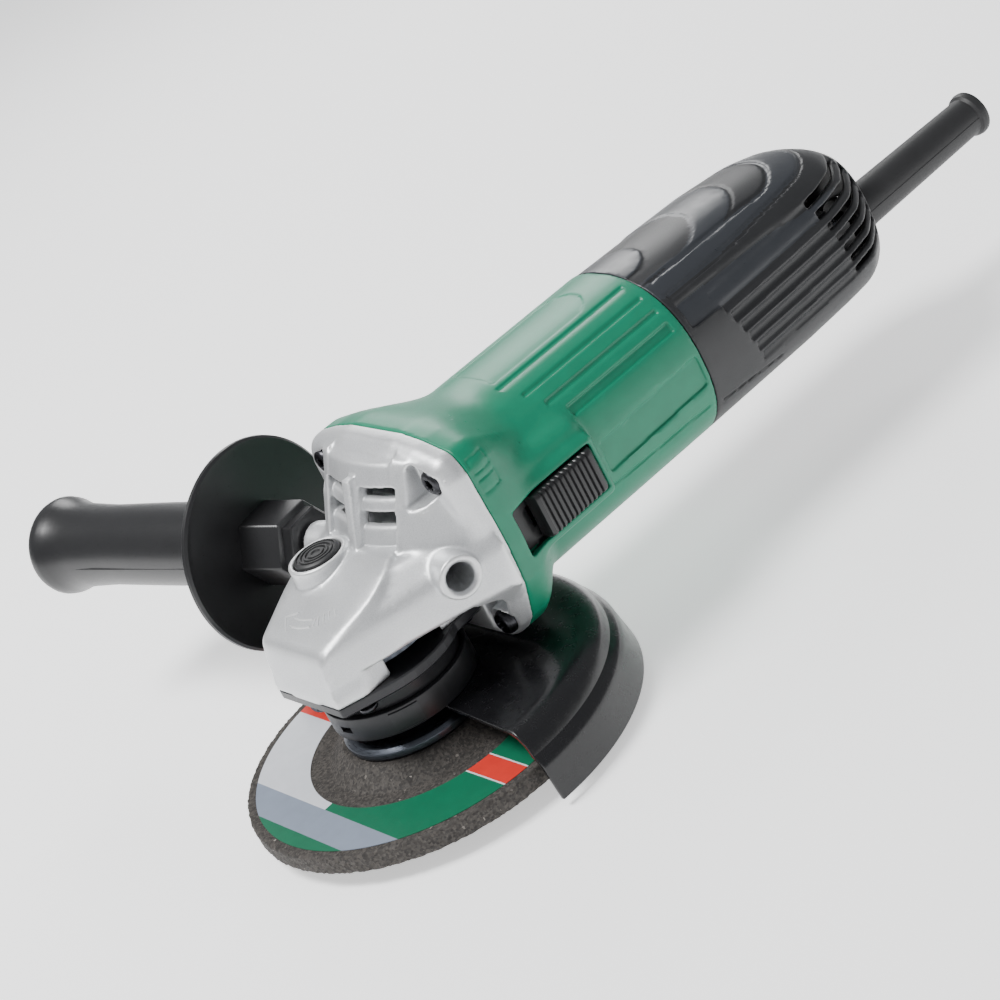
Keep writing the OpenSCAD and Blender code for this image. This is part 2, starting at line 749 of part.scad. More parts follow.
module front_bearing_inner() {
    color([0.75, 0.76, 0.78]) along_motor(front_bearing_x)
        bearing_ring(4.5, 7.2, front_bearing_w, front_pitch_r, front_ball_r);
}

module front_bearing_balls() {
    color([0.8, 0.8, 0.82]) along_motor(front_bearing_x)
        bearing_balls(front_bearing_w, front_pitch_r, front_ball_r - fit, 8);
}

module bearing_retainer() {
    color([0.6, 0.6, 0.62]) along_motor(retainer_x) difference() {
        union() {
            cylinder(r = 14.6, h = 2);
            for (a = retainer_turns) rotate(a) translate([retainer_screw_r, 0, 0])
                cylinder(r = 3.4, h = 2);
            rotate(retainer_turns[0]) translate([-retainer_screw_r, -3.4, 0])
                cube([2 * retainer_screw_r, 6.8, 2]);
        }
        translate([0, 0, -1]) cylinder(r = 9.5, h = 4);
        for (a = retainer_turns) rotate(a) translate([retainer_screw_r, 0, -1])
            cylinder(r = 1.4, h = 4);
    }
}

module retainer_screws() {
    color([0.3, 0.3, 0.32]) along_motor(retainer_x + 2)
        for (a = retainer_turns) rotate(a) translate([retainer_screw_r, 0, 0])
            pan_screw(1.2, 6.8, 2.4, 1.4);
}

// ---------------------------------------------------------------- stator and brushes

// Part of a tube, from angle a0 to a1 about the motor axis, where 0 is the model's -Z
module tube_sector(r_in, r_out, h, a0, a1) {
    rotate(a0) rotate_extrude(angle = a1 - a0) translate([r_in, 0]) square([r_out - r_in, h]);
}

module stator_core() {
    color([0.5, 0.52, 0.55]) along_motor(stator_x) difference() {
        intersection() {
            cylinder(r = stator_r, h = stator_l);
            translate([-30, -23.5, -1]) cube([60, 47, stator_l + 2]);
        }
        translate([0, 0, -1]) cylinder(r = bore_r, h = stator_l + 2);
        for (a = [45, 225])
            translate([0, 0, -1]) tube_sector(bore_r - 1, 20.4, stator_l + 2, a, a + 90);
        for (side = [-1, 1]) translate([side * stator_screw_r, 0, -1]) cylinder(r = 1.8, h = stator_l + 2);
    }
}

// Each coil loops round one pole, with its two bundles in the slots beside the pole
module stator_coils() {
    end_l = 5.6;
    color([0.66, 0.33, 0.14]) for (pole = [0, 180])
        along_motor(stator_x - end_l) rotate(pole) difference() {
            tube_sector(16.2, 19, stator_l + 2 * end_l, -84, 84);
            translate([0, 0, end_l - 0.4]) tube_sector(14, 22, stator_l + 0.8, -52, 52);
        }
}

module stator_screws() {
    color([0.35, 0.35, 0.37]) for (side = [-1, 1])
        translate([stator_x + stator_l, 0, motor_z + side * stator_screw_r]) rotate([0, 90, 0])
            pan_screw(1.6, stator_l + 4, 2.9, 2);
}

module rear_bearing_outer() {
    color([0.75, 0.76, 0.78]) along_motor(rear_bearing_x)
        bearing_ring(9, rear_bearing_r, rear_bearing_w, rear_pitch_r, rear_ball_r);
}

module rear_bearing_inner() {
    color([0.75, 0.76, 0.78]) along_motor(rear_bearing_x)
        bearing_ring(4, 6, rear_bearing_w, rear_pitch_r, rear_ball_r);
}

module rear_bearing_balls() {
    color([0.8, 0.8, 0.82]) along_motor(rear_bearing_x)
        bearing_balls(rear_bearing_w, rear_pitch_r, rear_ball_r - fit, 7);
}

module rear_bearing_sleeve() {
    color([0.1, 0.1, 0.1]) along_motor(rear_bearing_x)
        ring(rear_bearing_r, rear_bearing_r + 1.5, rear_bearing_w);
}

// The brush gear above and below the commutator
module both_brushes() {
    for (turn = [0, 180]) translate([brush_x, 0, motor_z]) rotate([turn, 0, 0]) children();
}

module brush_holders() {
    color([0.75, 0.6, 0.3]) both_brushes() difference() {
        translate([-5.2, -4, 12.4]) cube([10.4, 8, 12.2]);
        translate([-4, -2.8, 11]) cube([8, 5.6, 13]);
    }
}

module carbon_brushes() {
    color([0.15, 0.15, 0.15]) both_brushes() difference() {
        translate([-3.95, -2.75, 9]) cube([7.9, 5.5, 10.5]);
        rotate([0, 90, 0]) translate([0, 0, -6]) cylinder(r = comm_r + 0.08, h = 12);
    }
}

module brush_springs() {
    color([0.65, 0.65, 0.68]) both_brushes() translate([0, 0, 19.5])
        polyhedron_helix(2.1, 0.3, 3.8, 4, 48);
}

// ---------------------------------------------------------------- tail

// Cross-sections of the tail cover: station, half width, half height, middle's height
function tail_sections() = [
    [seam_x, barrel_a, barrel_b, 0], [165, 30, 28.3, -0.5], [186, 29.2, 27, -1.2],
    [tail_x - 17, 26.3, 25.7, -2.6], [tail_x - 10, 20.5, 23.8, -4.2], [tail_x - 5, 15.4, 21.2, -5.8],
    [tail_x - 1.5, 11, 18.6, -6.9], [tail_x, 8.5, 16.5, -7.5]
];

module tail_solid(inset) {
    hull() for (s = tail_sections()) {
        x = min(s[0], tail_x - inset) - (inset > 0 && s[0] == seam_x ? 1 : 0);
        slab(x - (s[0] == tail_x ? 0.5 : 0), 0.5) translate([0, s[3]])
            polygon(squircle(s[1] - inset, s[2] - inset, 2.3, 40));
    }
}

clamp_x = 197;
clamp_screw_y = 9.5;

module tail_cover() {
    color([0.2, 0.2, 0.215]) difference() {
        union() {
            difference() {
                tail_solid(0);
                tail_solid(wall + 0.2);
            }
            translate([tail_screw_x, 0, motor_z - 28]) cylinder(r = 5, h = 1.6);
            for (side = [-1, 1])
                translate([clamp_x, side * clamp_screw_y, motor_z - 25.4]) cylinder(r = 3.4, h = 10.8);
        }
        // air slots on both sides of the rear end
        for (side = [-1, 1], k = [0 : 6])
            translate([tail_x - 33, side * 24 - 12, motor_z - 16.4 + 4.9 * k]) cube([27, 24, 2.9]);
        // cord guard, tail screw and clamp screws
        along_motor(tail_x - 5) translate([cord_drop, 0, 0]) cylinder(r = 6.9, h = 10);
        translate([tail_screw_x, 0, motor_z - 40]) cylinder(r = 3.8, h = 12.2);
        translate([tail_screw_x, 0, motor_z - 40]) cylinder(r = 2, h = 20);
        for (side = [-1, 1])
            translate([clamp_x, side * clamp_screw_y, motor_z - 23]) cylinder(r = 1.5, h = 10);
    }
}

module tail_screw() {
    color([0.15, 0.15, 0.16]) translate([tail_screw_x, 0, motor_z - 27.8]) rotate([180, 0, 0])
        pan_screw(1.55, 8.5, 3.5, 1.2);
}

module switch_body() {
    color([0.12, 0.12, 0.13]) {
        translate([160, -24.5, motor_z + tray_h]) cube([26, 15.5, 20]);
        for (h = [2, 10])
            translate([186, -20, motor_z + tray_h + h]) cube([4, 0.8, 5]);
    }
}

module capacitor() {
    color([0.75, 0.6, 0.15]) translate([160, 1, motor_z + tray_h]) cube([24, 15, 14]);
}

module cord_clamp() {
    color([0.14, 0.14, 0.15]) translate([clamp_x, 0, motor_z]) difference() {
        translate([-4, -13.5, -14.6]) cube([8, 27, 9.6]);
        translate([-5, 0, -cord_drop]) rotate([0, 90, 0]) cylinder(r = 4.1, h = 10);
        translate([-5, -4.1, -20]) cube([10, 8.2, 20 - cord_drop]);
        for (side = [-1, 1]) translate([0, side * clamp_screw_y, -20]) cylinder(r = 1.7, h = 20);
    }
}

module clamp_screws() {
    color([0.35, 0.35, 0.37]) for (side = [-1, 1])
        translate([clamp_x, side * clamp_screw_y, motor_z - 5]) pan_screw(1.45, 17, 2.9, 1.8);
}

module cord_guard() {
    l = tail_x + cord_guard_l;
    color([0.08, 0.08, 0.085]) difference() {
        union() {
            along_motor(tail_x - 5) translate([cord_drop, 0, 0]) cylinder(r = 8.2, h = 2.6);
            along_motor(tail_x - 4) translate([cord_drop, 0, 0]) cylinder(r = 6.8, h = 5);
            along_motor(tail_x + 0.1) translate([cord_drop, 0, 0])
                cylinder(r1 = 7.3, r2 = 6.5, h = cord_guard_l - 3.4);
            along_motor(l - 3.4) translate([cord_drop, 0, 0]) cylinder(r = 7.6, h = 3.3);
        }
        along_motor(tail_x - 10) translate([cord_drop, 0, 0]) cylinder(r = 4.1, h = 80);
    }
}

// A lead's route through the points p, rounded at each bend
function route(p, steps = 5) = [
    for (i = [0 : len(p) - 1]) let (
        a = p[max(i - 1, 0)], b = p[i], c = p[min(i + 1, len(p) - 1)],
        ends = i == 0 || i == len(p) - 1,
        u = (a - b) / 2.4, v = (c - b) / 2.4
    ) each ends ? [b] : [for (k = [0 : steps]) let (t = k / steps) b + u * (1 - t) ^ 2 + v * t ^ 2]
];

// A round wire of radius r along the points p
module wire(p, r, sides = 10) {
    n = len(p) - 1;
    points = [for (i = [0 : n], k = [0 : sides - 1]) let (
        along = p[min(i + 1, n)] - p[max(i - 1, 0)],
        u = cross(along, [0.3, 1, 0.2]) / norm(cross(along, [0.3, 1, 0.2])),
        v = cross(along, u) / norm(cross(along, u)),
        a = -360 * k / sides
    ) p[i] + r * (cos(a) * u + sin(a) * v)];
    tube_faces(points, n, sides);
}

module motor_leads() {
    color([0.1, 0.1, 0.35]) translate([0, 0, motor_z]) {
        wire(route([[brush_x + 5.9, 0, 20], [150, -4, 20.5], [166, -14, 16], [166, -14, 10.1]]), 1);
        wire(route([[brush_x + 5.9, 0, -20], [138, 8, -20], [158, 8, -19], [190.5, -2, -17],
                    [192, -14, -6], [187.1, -14, -5]]), 1);
    }
}

// ---------------------------------------------------------------- armature

module rotor_shaft() {
    color([0.62, 0.63, 0.65]) {
        along_motor(10.4) cylinder(r = 2, h = 12);
        along_motor(22) cylinder(r = 3, h = 4);
        along_motor(front_bearing_x) cylinder(r = 4.5, h = front_bearing_w);
        along_motor(retainer_x) cylinder(r = 5, h = 139 - retainer_x);
        along_motor(139) cylinder(r = 4, h = shaft_end_x - 139);
    }
}

slots = 12;

module armature_core() {
    color([0.45, 0.46, 0.5]) along_motor(stator_x + 2) difference() {
        cylinder(r = rotor_r, h = 46);
        translate([0, 0, -1]) cylinder(r = 5, h = 48);
        for (k = [0 : slots - 1]) rotate(360 * k / slots)
            translate([10, -1.5, -1]) cube([6, 3, 48]);
    }
}

module armature_windings() {
    color([0.7, 0.36, 0.15]) along_motor(stator_x - 5) {
        for (z = [0, 53.1]) translate([0, 0, z]) rotate_extrude() polygon([
            [5, 0.6], [9, 0], [12.6, 1.2], [13.8, 3.5], [13.8, 6.9], [5, 6.9]
        ]);
        for (k = [0 : slots - 1]) rotate(360 * k / slots)
            translate([10.2, -1.4, 6]) cube([3.5, 2.8, 48]);
    }
}

module commutator() {
    color([0.72, 0.42, 0.2]) along_motor(comm_x - 2) difference() {
        union() {
            cylinder(r = comm_r + 1, h = 2.4);
            cylinder(r = comm_r, h = comm_l + 2);
        }
        translate([0, 0, -1]) cylinder(r = 5, h = 20);
        for (k = [0 : 23]) rotate(15 * k) translate([comm_r - 0.8, -0.25, -1]) cube([4, 0.5, 20]);
    }
}

// One blade: an arc from the hub out to the rim, leaning back against the spin
function blade_arc(r0, r1, lean, steps, thick) = concat(
    [for (i = [0 : steps]) let (t = i / steps, r = r0 + (r1 - r0) * t, a = lean * t * t)
        [r * cos(a) + thick / 2 * sin(a), r * sin(a) - thick / 2 * cos(a)]],
    [for (i = [steps : -1 : 0]) let (t = i / steps, r = r0 + (r1 - r0) * t, a = lean * t * t)
        [r * cos(a) - thick / 2 * sin(a), r * sin(a) + thick / 2 * cos(a)]]
);

module fan() {
    blades = 13;
    color([0.15, 0.15, 0.16]) along_motor(fan_x) {
        ring(5, fan_r, 1.6);
        ring(5, 9, fan_w);
        for (k = [0 : blades - 1]) rotate(360 * k / blades)
            translate([0, 0, 1.5]) linear_extrude(fan_w - 1.5)
                polygon(blade_arc(8.7, fan_r - 0.3, 22, 5, 1.2));
    }
}

module pinion() {
    color([0.52, 0.52, 0.54]) difference() {
        union() {
            // turned so that a tooth points down into a gap of the ring gear
            along_motor(0) bevel_crown(pinion_teeth, pinion_cone, shift, 2.5, 3.6, 13.9, 22);
            along_motor(14.2) cylinder(r = 2.75, h = 4);
            along_motor(18.1) cylinder(r = 3.8, h = front_bearing_x - 18.1);
            along_motor(22.2) cylinder(r = 6, h = front_bearing_x - 22.2);
        }
        along_motor(5) cylinder(r = 2, h = 30);
        along_motor(22) cylinder(r = 3, h = 10);
    }
}

module pinion_nut() {
    color([0.4, 0.4, 0.42]) along_motor(10.7) difference() {
        cylinder(r = 3.9, h = 2.5, $fn = 6);
        translate([0, 0, -1]) cylinder(r = 2, h = 5);
    }
}

// ---------------------------------------------------------------- switch

module switch_knob() {
    ribs = 9;
    color([0.07, 0.07, 0.075]) translate([knob_x, 0, motor_z + switch_h]) {
        difference() {
            translate([-knob_l / 2, -37.4, -knob_h / 2])
                cube([knob_l, 37.4 + knob_floor_y - knob_lift, knob_h]);
            for (k = [0 : ribs]) translate([-knob_l / 2 + 2 + k * 2.2, -38.4, -knob_h / 2 - 1])
                cube([1, 1.8, knob_h + 2]);
        }
        // stem, which rocks on a rounded edge in front of the bar
        translate([-4.9, knob_floor_y - knob_lift - 0.1, -2.9])
            cube([9.8, rock_y - 0.4 - knob_floor_y + knob_lift + 0.1, 5.8]);
        translate([0, rock_y, -2.9]) cylinder(r = 0.65, h = 5.8);
    }
}

module switch_bar() {
    color([0.16, 0.16, 0.17]) translate([knob_x - 5, bar_y, motor_z + switch_h - 3]) {
        cube([100, bar_t, 6]);
        // the rear end stands further in, beside the switch
        translate([97, 0.9, 0]) cube([25, bar_t, 6]);
    }
}

// ---------------------------------------------------------------- side handle

module handle_grip() {
    shield_z = 23;
    color([0.09, 0.09, 0.095]) in_socket(1) difference() {
        union() {
            translate([0, 0, 1.2]) cylinder(r = 9.5, h = shield_z, $fn = 6);
            rotate_extrude() polygon([
                [2, shield_z - 0.6], [shield_r - 1, shield_z - 0.6], [shield_r, shield_z],
                [shield_r, shield_z + 1.4], [shield_r - 1, shield_z + 2], [14.5, shield_z + 2.4],
                [grip_r - 0.3, shield_z + 4], [grip_r, shield_z + 40], [grip_r + 0.3, handle_l - 18],
                [grip_r + 0.8, handle_l - 12], [grip_r + 2.7, handle_l - 7.5],
                [grip_r + 2.9, handle_l - 5.5], [grip_r + 1.8, handle_l - 2.6],
                [grip_r - 3, handle_l - 0.4], [grip_r - 8, handle_l], [2, handle_l]
            ]);
            cylinder(r = 3, h = handle_l);
        }
        translate([0, 0, -1]) cylinder(r = 4, h = shield_z + 14);
        translate([0, 0, 30]) cylinder(r = 2.5, h = handle_l - 35);
    }
}

module handle_bolt() {
    color([0.62, 0.63, 0.65]) in_socket(1) {
        translate([0, 0, -12]) cylinder(r = 4 - fit, h = 48);
    }
}

// ---------------------------------------------------------------- drawing

gear_case();
case_screws();
bearing_cover();
cover_screws();
spindle_bearing_outer();
spindle_bearing_balls();
spindle_bush();
dust_seal();
motor_housing();
fan_baffle();
front_bearing_outer();
front_bearing_balls();
bearing_retainer();
retainer_screws();
stator_core();
stator_coils();
stator_screws();
rear_bearing_outer();
rear_bearing_balls();
rear_bearing_sleeve();
brush_holders();
carbon_brushes();
brush_springs();
tail_cover();
tail_screw();
switch_body();
capacitor();
cord_clamp();
clamp_screws();
cord_guard();
motor_leads();
spindle();
ring_gear();
gear_clip();
spindle_bearing_inner();
wheel_washer();
grinding_wheel();
wheel_label();
wheel_bore_ring();
wheel_nut();
rotor_shaft();
armature_core();
armature_windings();
commutator();
fan();
pinion();
pinion_nut();
front_bearing_inner();
rear_bearing_inner();
guard_shell();
guard_collar();
guard_screw();
lock_button();
lock_pin();
lock_spring();
switch_knob();
switch_bar();
handle_grip();
handle_bolt();
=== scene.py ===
import functools
import json
import math

import bmesh
import bpy
import numpy as np
import openvdb
from mathutils import Matrix, Vector


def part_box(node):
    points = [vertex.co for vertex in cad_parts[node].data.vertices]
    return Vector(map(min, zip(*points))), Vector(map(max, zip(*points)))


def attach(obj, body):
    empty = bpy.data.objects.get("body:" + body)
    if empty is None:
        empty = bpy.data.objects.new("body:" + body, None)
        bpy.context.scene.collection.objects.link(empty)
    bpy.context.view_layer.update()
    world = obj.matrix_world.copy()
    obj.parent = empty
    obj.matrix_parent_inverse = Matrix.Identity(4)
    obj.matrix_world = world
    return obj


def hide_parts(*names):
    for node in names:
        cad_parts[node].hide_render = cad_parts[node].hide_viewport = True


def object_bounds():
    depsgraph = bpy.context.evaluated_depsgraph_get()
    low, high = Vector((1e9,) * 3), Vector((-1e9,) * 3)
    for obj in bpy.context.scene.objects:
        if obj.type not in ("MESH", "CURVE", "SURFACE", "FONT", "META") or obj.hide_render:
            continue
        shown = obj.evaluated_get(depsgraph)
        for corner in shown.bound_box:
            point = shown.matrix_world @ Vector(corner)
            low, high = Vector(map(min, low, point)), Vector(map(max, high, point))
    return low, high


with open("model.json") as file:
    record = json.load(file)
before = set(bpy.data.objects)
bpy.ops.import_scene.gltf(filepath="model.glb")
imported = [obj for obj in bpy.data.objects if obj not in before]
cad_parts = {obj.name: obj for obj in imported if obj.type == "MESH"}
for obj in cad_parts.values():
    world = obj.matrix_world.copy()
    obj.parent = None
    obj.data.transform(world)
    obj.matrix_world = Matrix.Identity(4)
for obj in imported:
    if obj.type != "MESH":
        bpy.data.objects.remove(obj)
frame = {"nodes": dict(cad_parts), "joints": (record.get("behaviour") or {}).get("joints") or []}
CAD_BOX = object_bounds()

# Lengths below are in millimetres, with +Z up the spindle and +X back along the motor.
# Field shapes use heights from the motor axis, and MOTOR_Z brings them to the frame.
MM = 0.001


def span(cad_node, axis):
    """The lowest and highest coordinate of a CAD node along an axis, in millimetres."""
    low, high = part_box(cad_node)
    return getattr(low, axis) / MM, getattr(high, axis) / MM


JOINTS = {j["name"]: j for j in frame["joints"]}
MOTOR_Z = JOINTS["armature_spin"]["pos_m"][2] / MM
SEAM_X, TAIL_X = span("tail_cover", "x")
FLANGE_X = span("motor_housing", "x")[0]
SOCKET = Vector(JOINTS["handle_turn"]["pos_m"]) / MM
SOCKET_AXIS = Vector(JOINTS["handle_turn"]["axis"]).normalized()
LEAN = math.radians(13)            # how far the handle sockets turn back from square
LOCK = (1.5, 10.5)                 # axis of the spindle lock
SCREWS = ((27.8, 25), (26, -24))   # case screws, upper then lower, as offset and height
CORD_Z = -11
BARREL = (30.4, 29.0)              # half width and half height of the motor barrel


# ------------------------------------------------------------------ camera, lights and floor

def rotation(azimuth, elevation, roll):
    """Camera axes for an azimuth from the -Y direction, an elevation and a roll, in degrees."""
    a, e, r = (math.radians(v) for v in (azimuth, elevation, roll))
    back = Vector((math.sin(a) * math.cos(e), -math.cos(a) * math.cos(e), math.sin(e)))
    right = Vector((math.cos(a), math.sin(a), 0))
    up = back.cross(right)
    across = math.cos(r) * right + math.sin(r) * up
    above = -math.sin(r) * right + math.cos(r) * up
    return Matrix((across, above, back)).transposed()


def add_camera():
    data = bpy.data.cameras.new("camera")
    data.sensor_width = 36
    data.lens = 95.6
    data.shift_y = -0.0289
    data.clip_end = 20
    camera = bpy.data.objects.new("camera", data)
    bpy.context.scene.collection.objects.link(camera)
    axes = rotation(azimuth=-27.46, elevation=24.56, roll=-27.99)
    target = Vector((60, 0, MOTOR_Z)) * MM
    distance = 0.77017
    camera.matrix_world = Matrix.Translation(target + axes.col[2] * distance) @ axes.to_4x4()
    bpy.context.scene.camera = camera


def add_light(name, place, power, size):
    data = bpy.data.lights.new(name, "AREA")
    data.energy = power
    data.size = size
    light = bpy.data.objects.new(name, data)
    bpy.context.scene.collection.objects.link(light)
    target = Vector((0.06, 0, 0.05))
    light.location = place
    light.rotation_euler = (target - light.location).to_track_quat("-Z", "Y").to_euler()


def add_studio():
    world = bpy.data.worlds.new("studio")
    bpy.context.scene.world = world
    world.use_nodes = True
    sky = world.node_tree.nodes["Background"]
    sky.inputs["Color"].default_value = (0.95, 0.97, 1, 1)
    sky.inputs["Strength"].default_value = 0.42
    add_light("key", Vector((-0.40, 0.20, 1.1)), 19, 0.45)
    add_light("fill", Vector((-0.4, -1.2, 0.4)), 0.7, 0.7)
    add_light("rim", Vector((0.6, 0.75, 0.6)), 4, 0.4)
    floor = mesh_object("floor", [(-4, -4, 0), (4, -4, 0), (4, 4, 0), (-4, 4, 0)], [(0, 1, 2, 3)], 1)
    floor.location.z = CAD_BOX[0].z - 0.0005
    paint = plain("floor_paint", (0.94, 0.94, 0.94), 0.8, 0.005, 40)
    glow = paint.node_tree.nodes["Principled BSDF"].inputs
    glow["Emission Color"].default_value = (1, 1, 1, 1)
    glow["Emission Strength"].default_value = 0.75
    floor.data.materials.append(paint)


# ------------------------------------------------------------------ materials

def shader(name):
    made = bpy.data.materials.new(name)
    made.use_nodes = True
    tree = made.node_tree
    return made, tree, tree.nodes["Principled BSDF"]


def node(tree, kind, **values):
    """A shader node with its sockets set by name, and its other settings by attribute."""
    made = tree.nodes.new(kind)
    for key, value in values.items():
        name = key.replace("_", " ").title()
        if name in made.inputs:
            made.inputs[name].default_value = value
        else:
            setattr(made, key, value)
    return made


def noise(tree, scale, detail=4, roughness=0.55):
    """Noise in the object's own space; scale is in features per metre."""
    place = tree.nodes.get("place") or tree.nodes.new("ShaderNodeTexCoord")
    place.name = "place"
    made = node(tree, "ShaderNodeTexNoise", scale=scale, detail=detail, roughness=roughness)
    tree.links.new(place.outputs["Object"], made.inputs["Vector"])
    return made.outputs["Fac"]


def ranged(tree, source, low, high, start=0.3, end=0.7):
    """The source stretched from start..end to low..high."""
    made = node(tree, "ShaderNodeMapRange", clamp=True)
    made.inputs["From Min"].default_value = start
    made.inputs["From Max"].default_value = end
    made.inputs["To Min"].default_value = low
    made.inputs["To Max"].default_value = high
    tree.links.new(source, made.inputs["Value"])
    return made.outputs["Result"]


def blended(tree, factor, first, second):
    """Mixes two colours, each a tuple or a socket."""
    made = node(tree, "ShaderNodeMix", data_type="RGBA")
    tree.links.new(factor, made.inputs[0])
    for socket, value in ((made.inputs[6], first), (made.inputs[7], second)):
        if isinstance(value, tuple):
            socket.default_value = (*value, 1)
        else:
            tree.links.new(value, socket)
    return made.outputs[2]


def bumps(tree, bsdf, layers):
    """Layers of (height socket, strength, depth in mm), each bump on top of the last."""
    last = None
    for height, strength, depth in layers:
        bump = node(tree, "ShaderNodeBump", strength=strength, distance=depth * MM)
        tree.links.new(height, bump.inputs["Height"])
        if last:
            tree.links.new(last, bump.inputs["Normal"])
        last = bump.outputs["Normal"]
    tree.links.new(last, bsdf.inputs["Normal"])


def shade(colour, factor):
    return tuple(min(1, c * factor) for c in colour)


def plain(name, colour, roughness, spread=0.05, scale=1500, metallic=0.0, grain=0.0, depth=0.05,
          edge=0.0):
    """A finish with mottled colour and roughness, a fine grain, and lighter worn edges."""
    made, tree, bsdf = shader(name)
    mottle = noise(tree, scale * 0.08, 3)
    fine = noise(tree, scale, 6, 0.7)
    body = blended(tree, ranged(tree, mottle, 0, 1), shade(colour, 1 - spread), shade(colour, 1 + spread))
    body = blended(tree, ranged(tree, fine, 0, 0.35), body, shade(colour, 1 + 2.5 * spread))
    if edge:
        form = node(tree, "ShaderNodeNewGeometry")
        worn = ranged(tree, form.outputs["Pointiness"], 0, edge, 0.505, 0.56)
        body = blended(tree, worn, body, shade(colour, 1.7))
    tree.links.new(body, bsdf.inputs["Base Color"])
    rough = ranged(tree, fine, max(0.04, roughness - 0.07), min(1, roughness + 0.07))
    tree.links.new(rough, bsdf.inputs["Roughness"])
    bsdf.inputs["Metallic"].default_value = metallic
    if grain:
        bumps(tree, bsdf, [(mottle, grain * 0.4, depth * 2), (fine, grain, depth)])
    return made


def cast_alloy():
    """Blasted aluminium: bright, with a fine sandy grain and softly polished edges."""
    made, tree, bsdf = shader("cast_alloy_blasted")
    sand = noise(tree, 2600, 6, 0.75)
    cloud = noise(tree, 90, 3)
    body = blended(tree, ranged(tree, sand, 0, 1), (0.50, 0.51, 0.52), (0.74, 0.75, 0.76))
    body = blended(tree, ranged(tree, cloud, 0, 0.25), body, (0.80, 0.81, 0.82))
    form = node(tree, "ShaderNodeNewGeometry")
    worn = ranged(tree, form.outputs["Pointiness"], 0, 0.7, 0.505, 0.55)
    tree.links.new(blended(tree, worn, body, (0.88, 0.88, 0.88)), bsdf.inputs["Base Color"])
    tree.links.new(ranged(tree, sand, 0.34, 0.52), bsdf.inputs["Roughness"])
    bsdf.inputs["Metallic"].default_value = 0.72
    bumps(tree, bsdf, [(cloud, 0.15, 0.3), (sand, 0.45, 0.06)])
    return made


def abrasive():
    """Bonded grit: dark resin with darker and lighter grains and tiny glints."""
    made, tree, bsdf = shader("abrasive_grit")
    grit = node(tree, "ShaderNodeTexVoronoi", scale=1500)
    place = node(tree, "ShaderNodeTexCoord")
    tree.links.new(place.outputs["Object"], grit.inputs["Vector"])
    coarse = noise(tree, 900, 8, 0.8)
    body = blended(tree, ranged(tree, grit.outputs["Color"], 0, 1, 0.2, 0.9),
                   (0.022, 0.019, 0.017), (0.075, 0.066, 0.058))
    glint = ranged(tree, grit.outputs["Color"], 0, 1, 0.93, 0.97)
    tree.links.new(blended(tree, glint, body, (0.30, 0.27, 0.24)), bsdf.inputs["Base Color"])
    tree.links.new(ranged(tree, coarse, 0.55, 0.95), bsdf.inputs["Roughness"])
    bumps(tree, bsdf, [(coarse, 0.7, 0.25), (grit.outputs["Distance"], 0.5, 0.12)])
    return made


def brushed(name, colour, roughness, turn_axis):
    """Machined steel, with fine turning marks across the axis named."""
    made, tree, bsdf = shader(name)
    place = node(tree, "ShaderNodeTexCoord")
    stretch = node(tree, "ShaderNodeMapping")
    stretch.inputs["Scale"].default_value = tuple(12.0 if axis == turn_axis else 1.0 for axis in "xyz")
    tree.links.new(place.outputs["Object"], stretch.inputs["Vector"])
    lines = node(tree, "ShaderNodeTexNoise", scale=500, detail=6)
    tree.links.new(stretch.outputs["Vector"], lines.inputs["Vector"])
    mark = lines.outputs["Fac"]
    tree.links.new(blended(tree, ranged(tree, mark, 0, 1), shade(colour, 0.8), shade(colour, 1.15)),
                   bsdf.inputs["Base Color"])
    tree.links.new(ranged(tree, mark, roughness - 0.06, roughness + 0.1), bsdf.inputs["Roughness"])
    bsdf.inputs["Metallic"].default_value = 1.0
    bumps(tree, bsdf, [(mark, 0.12, 0.02)])
    return made


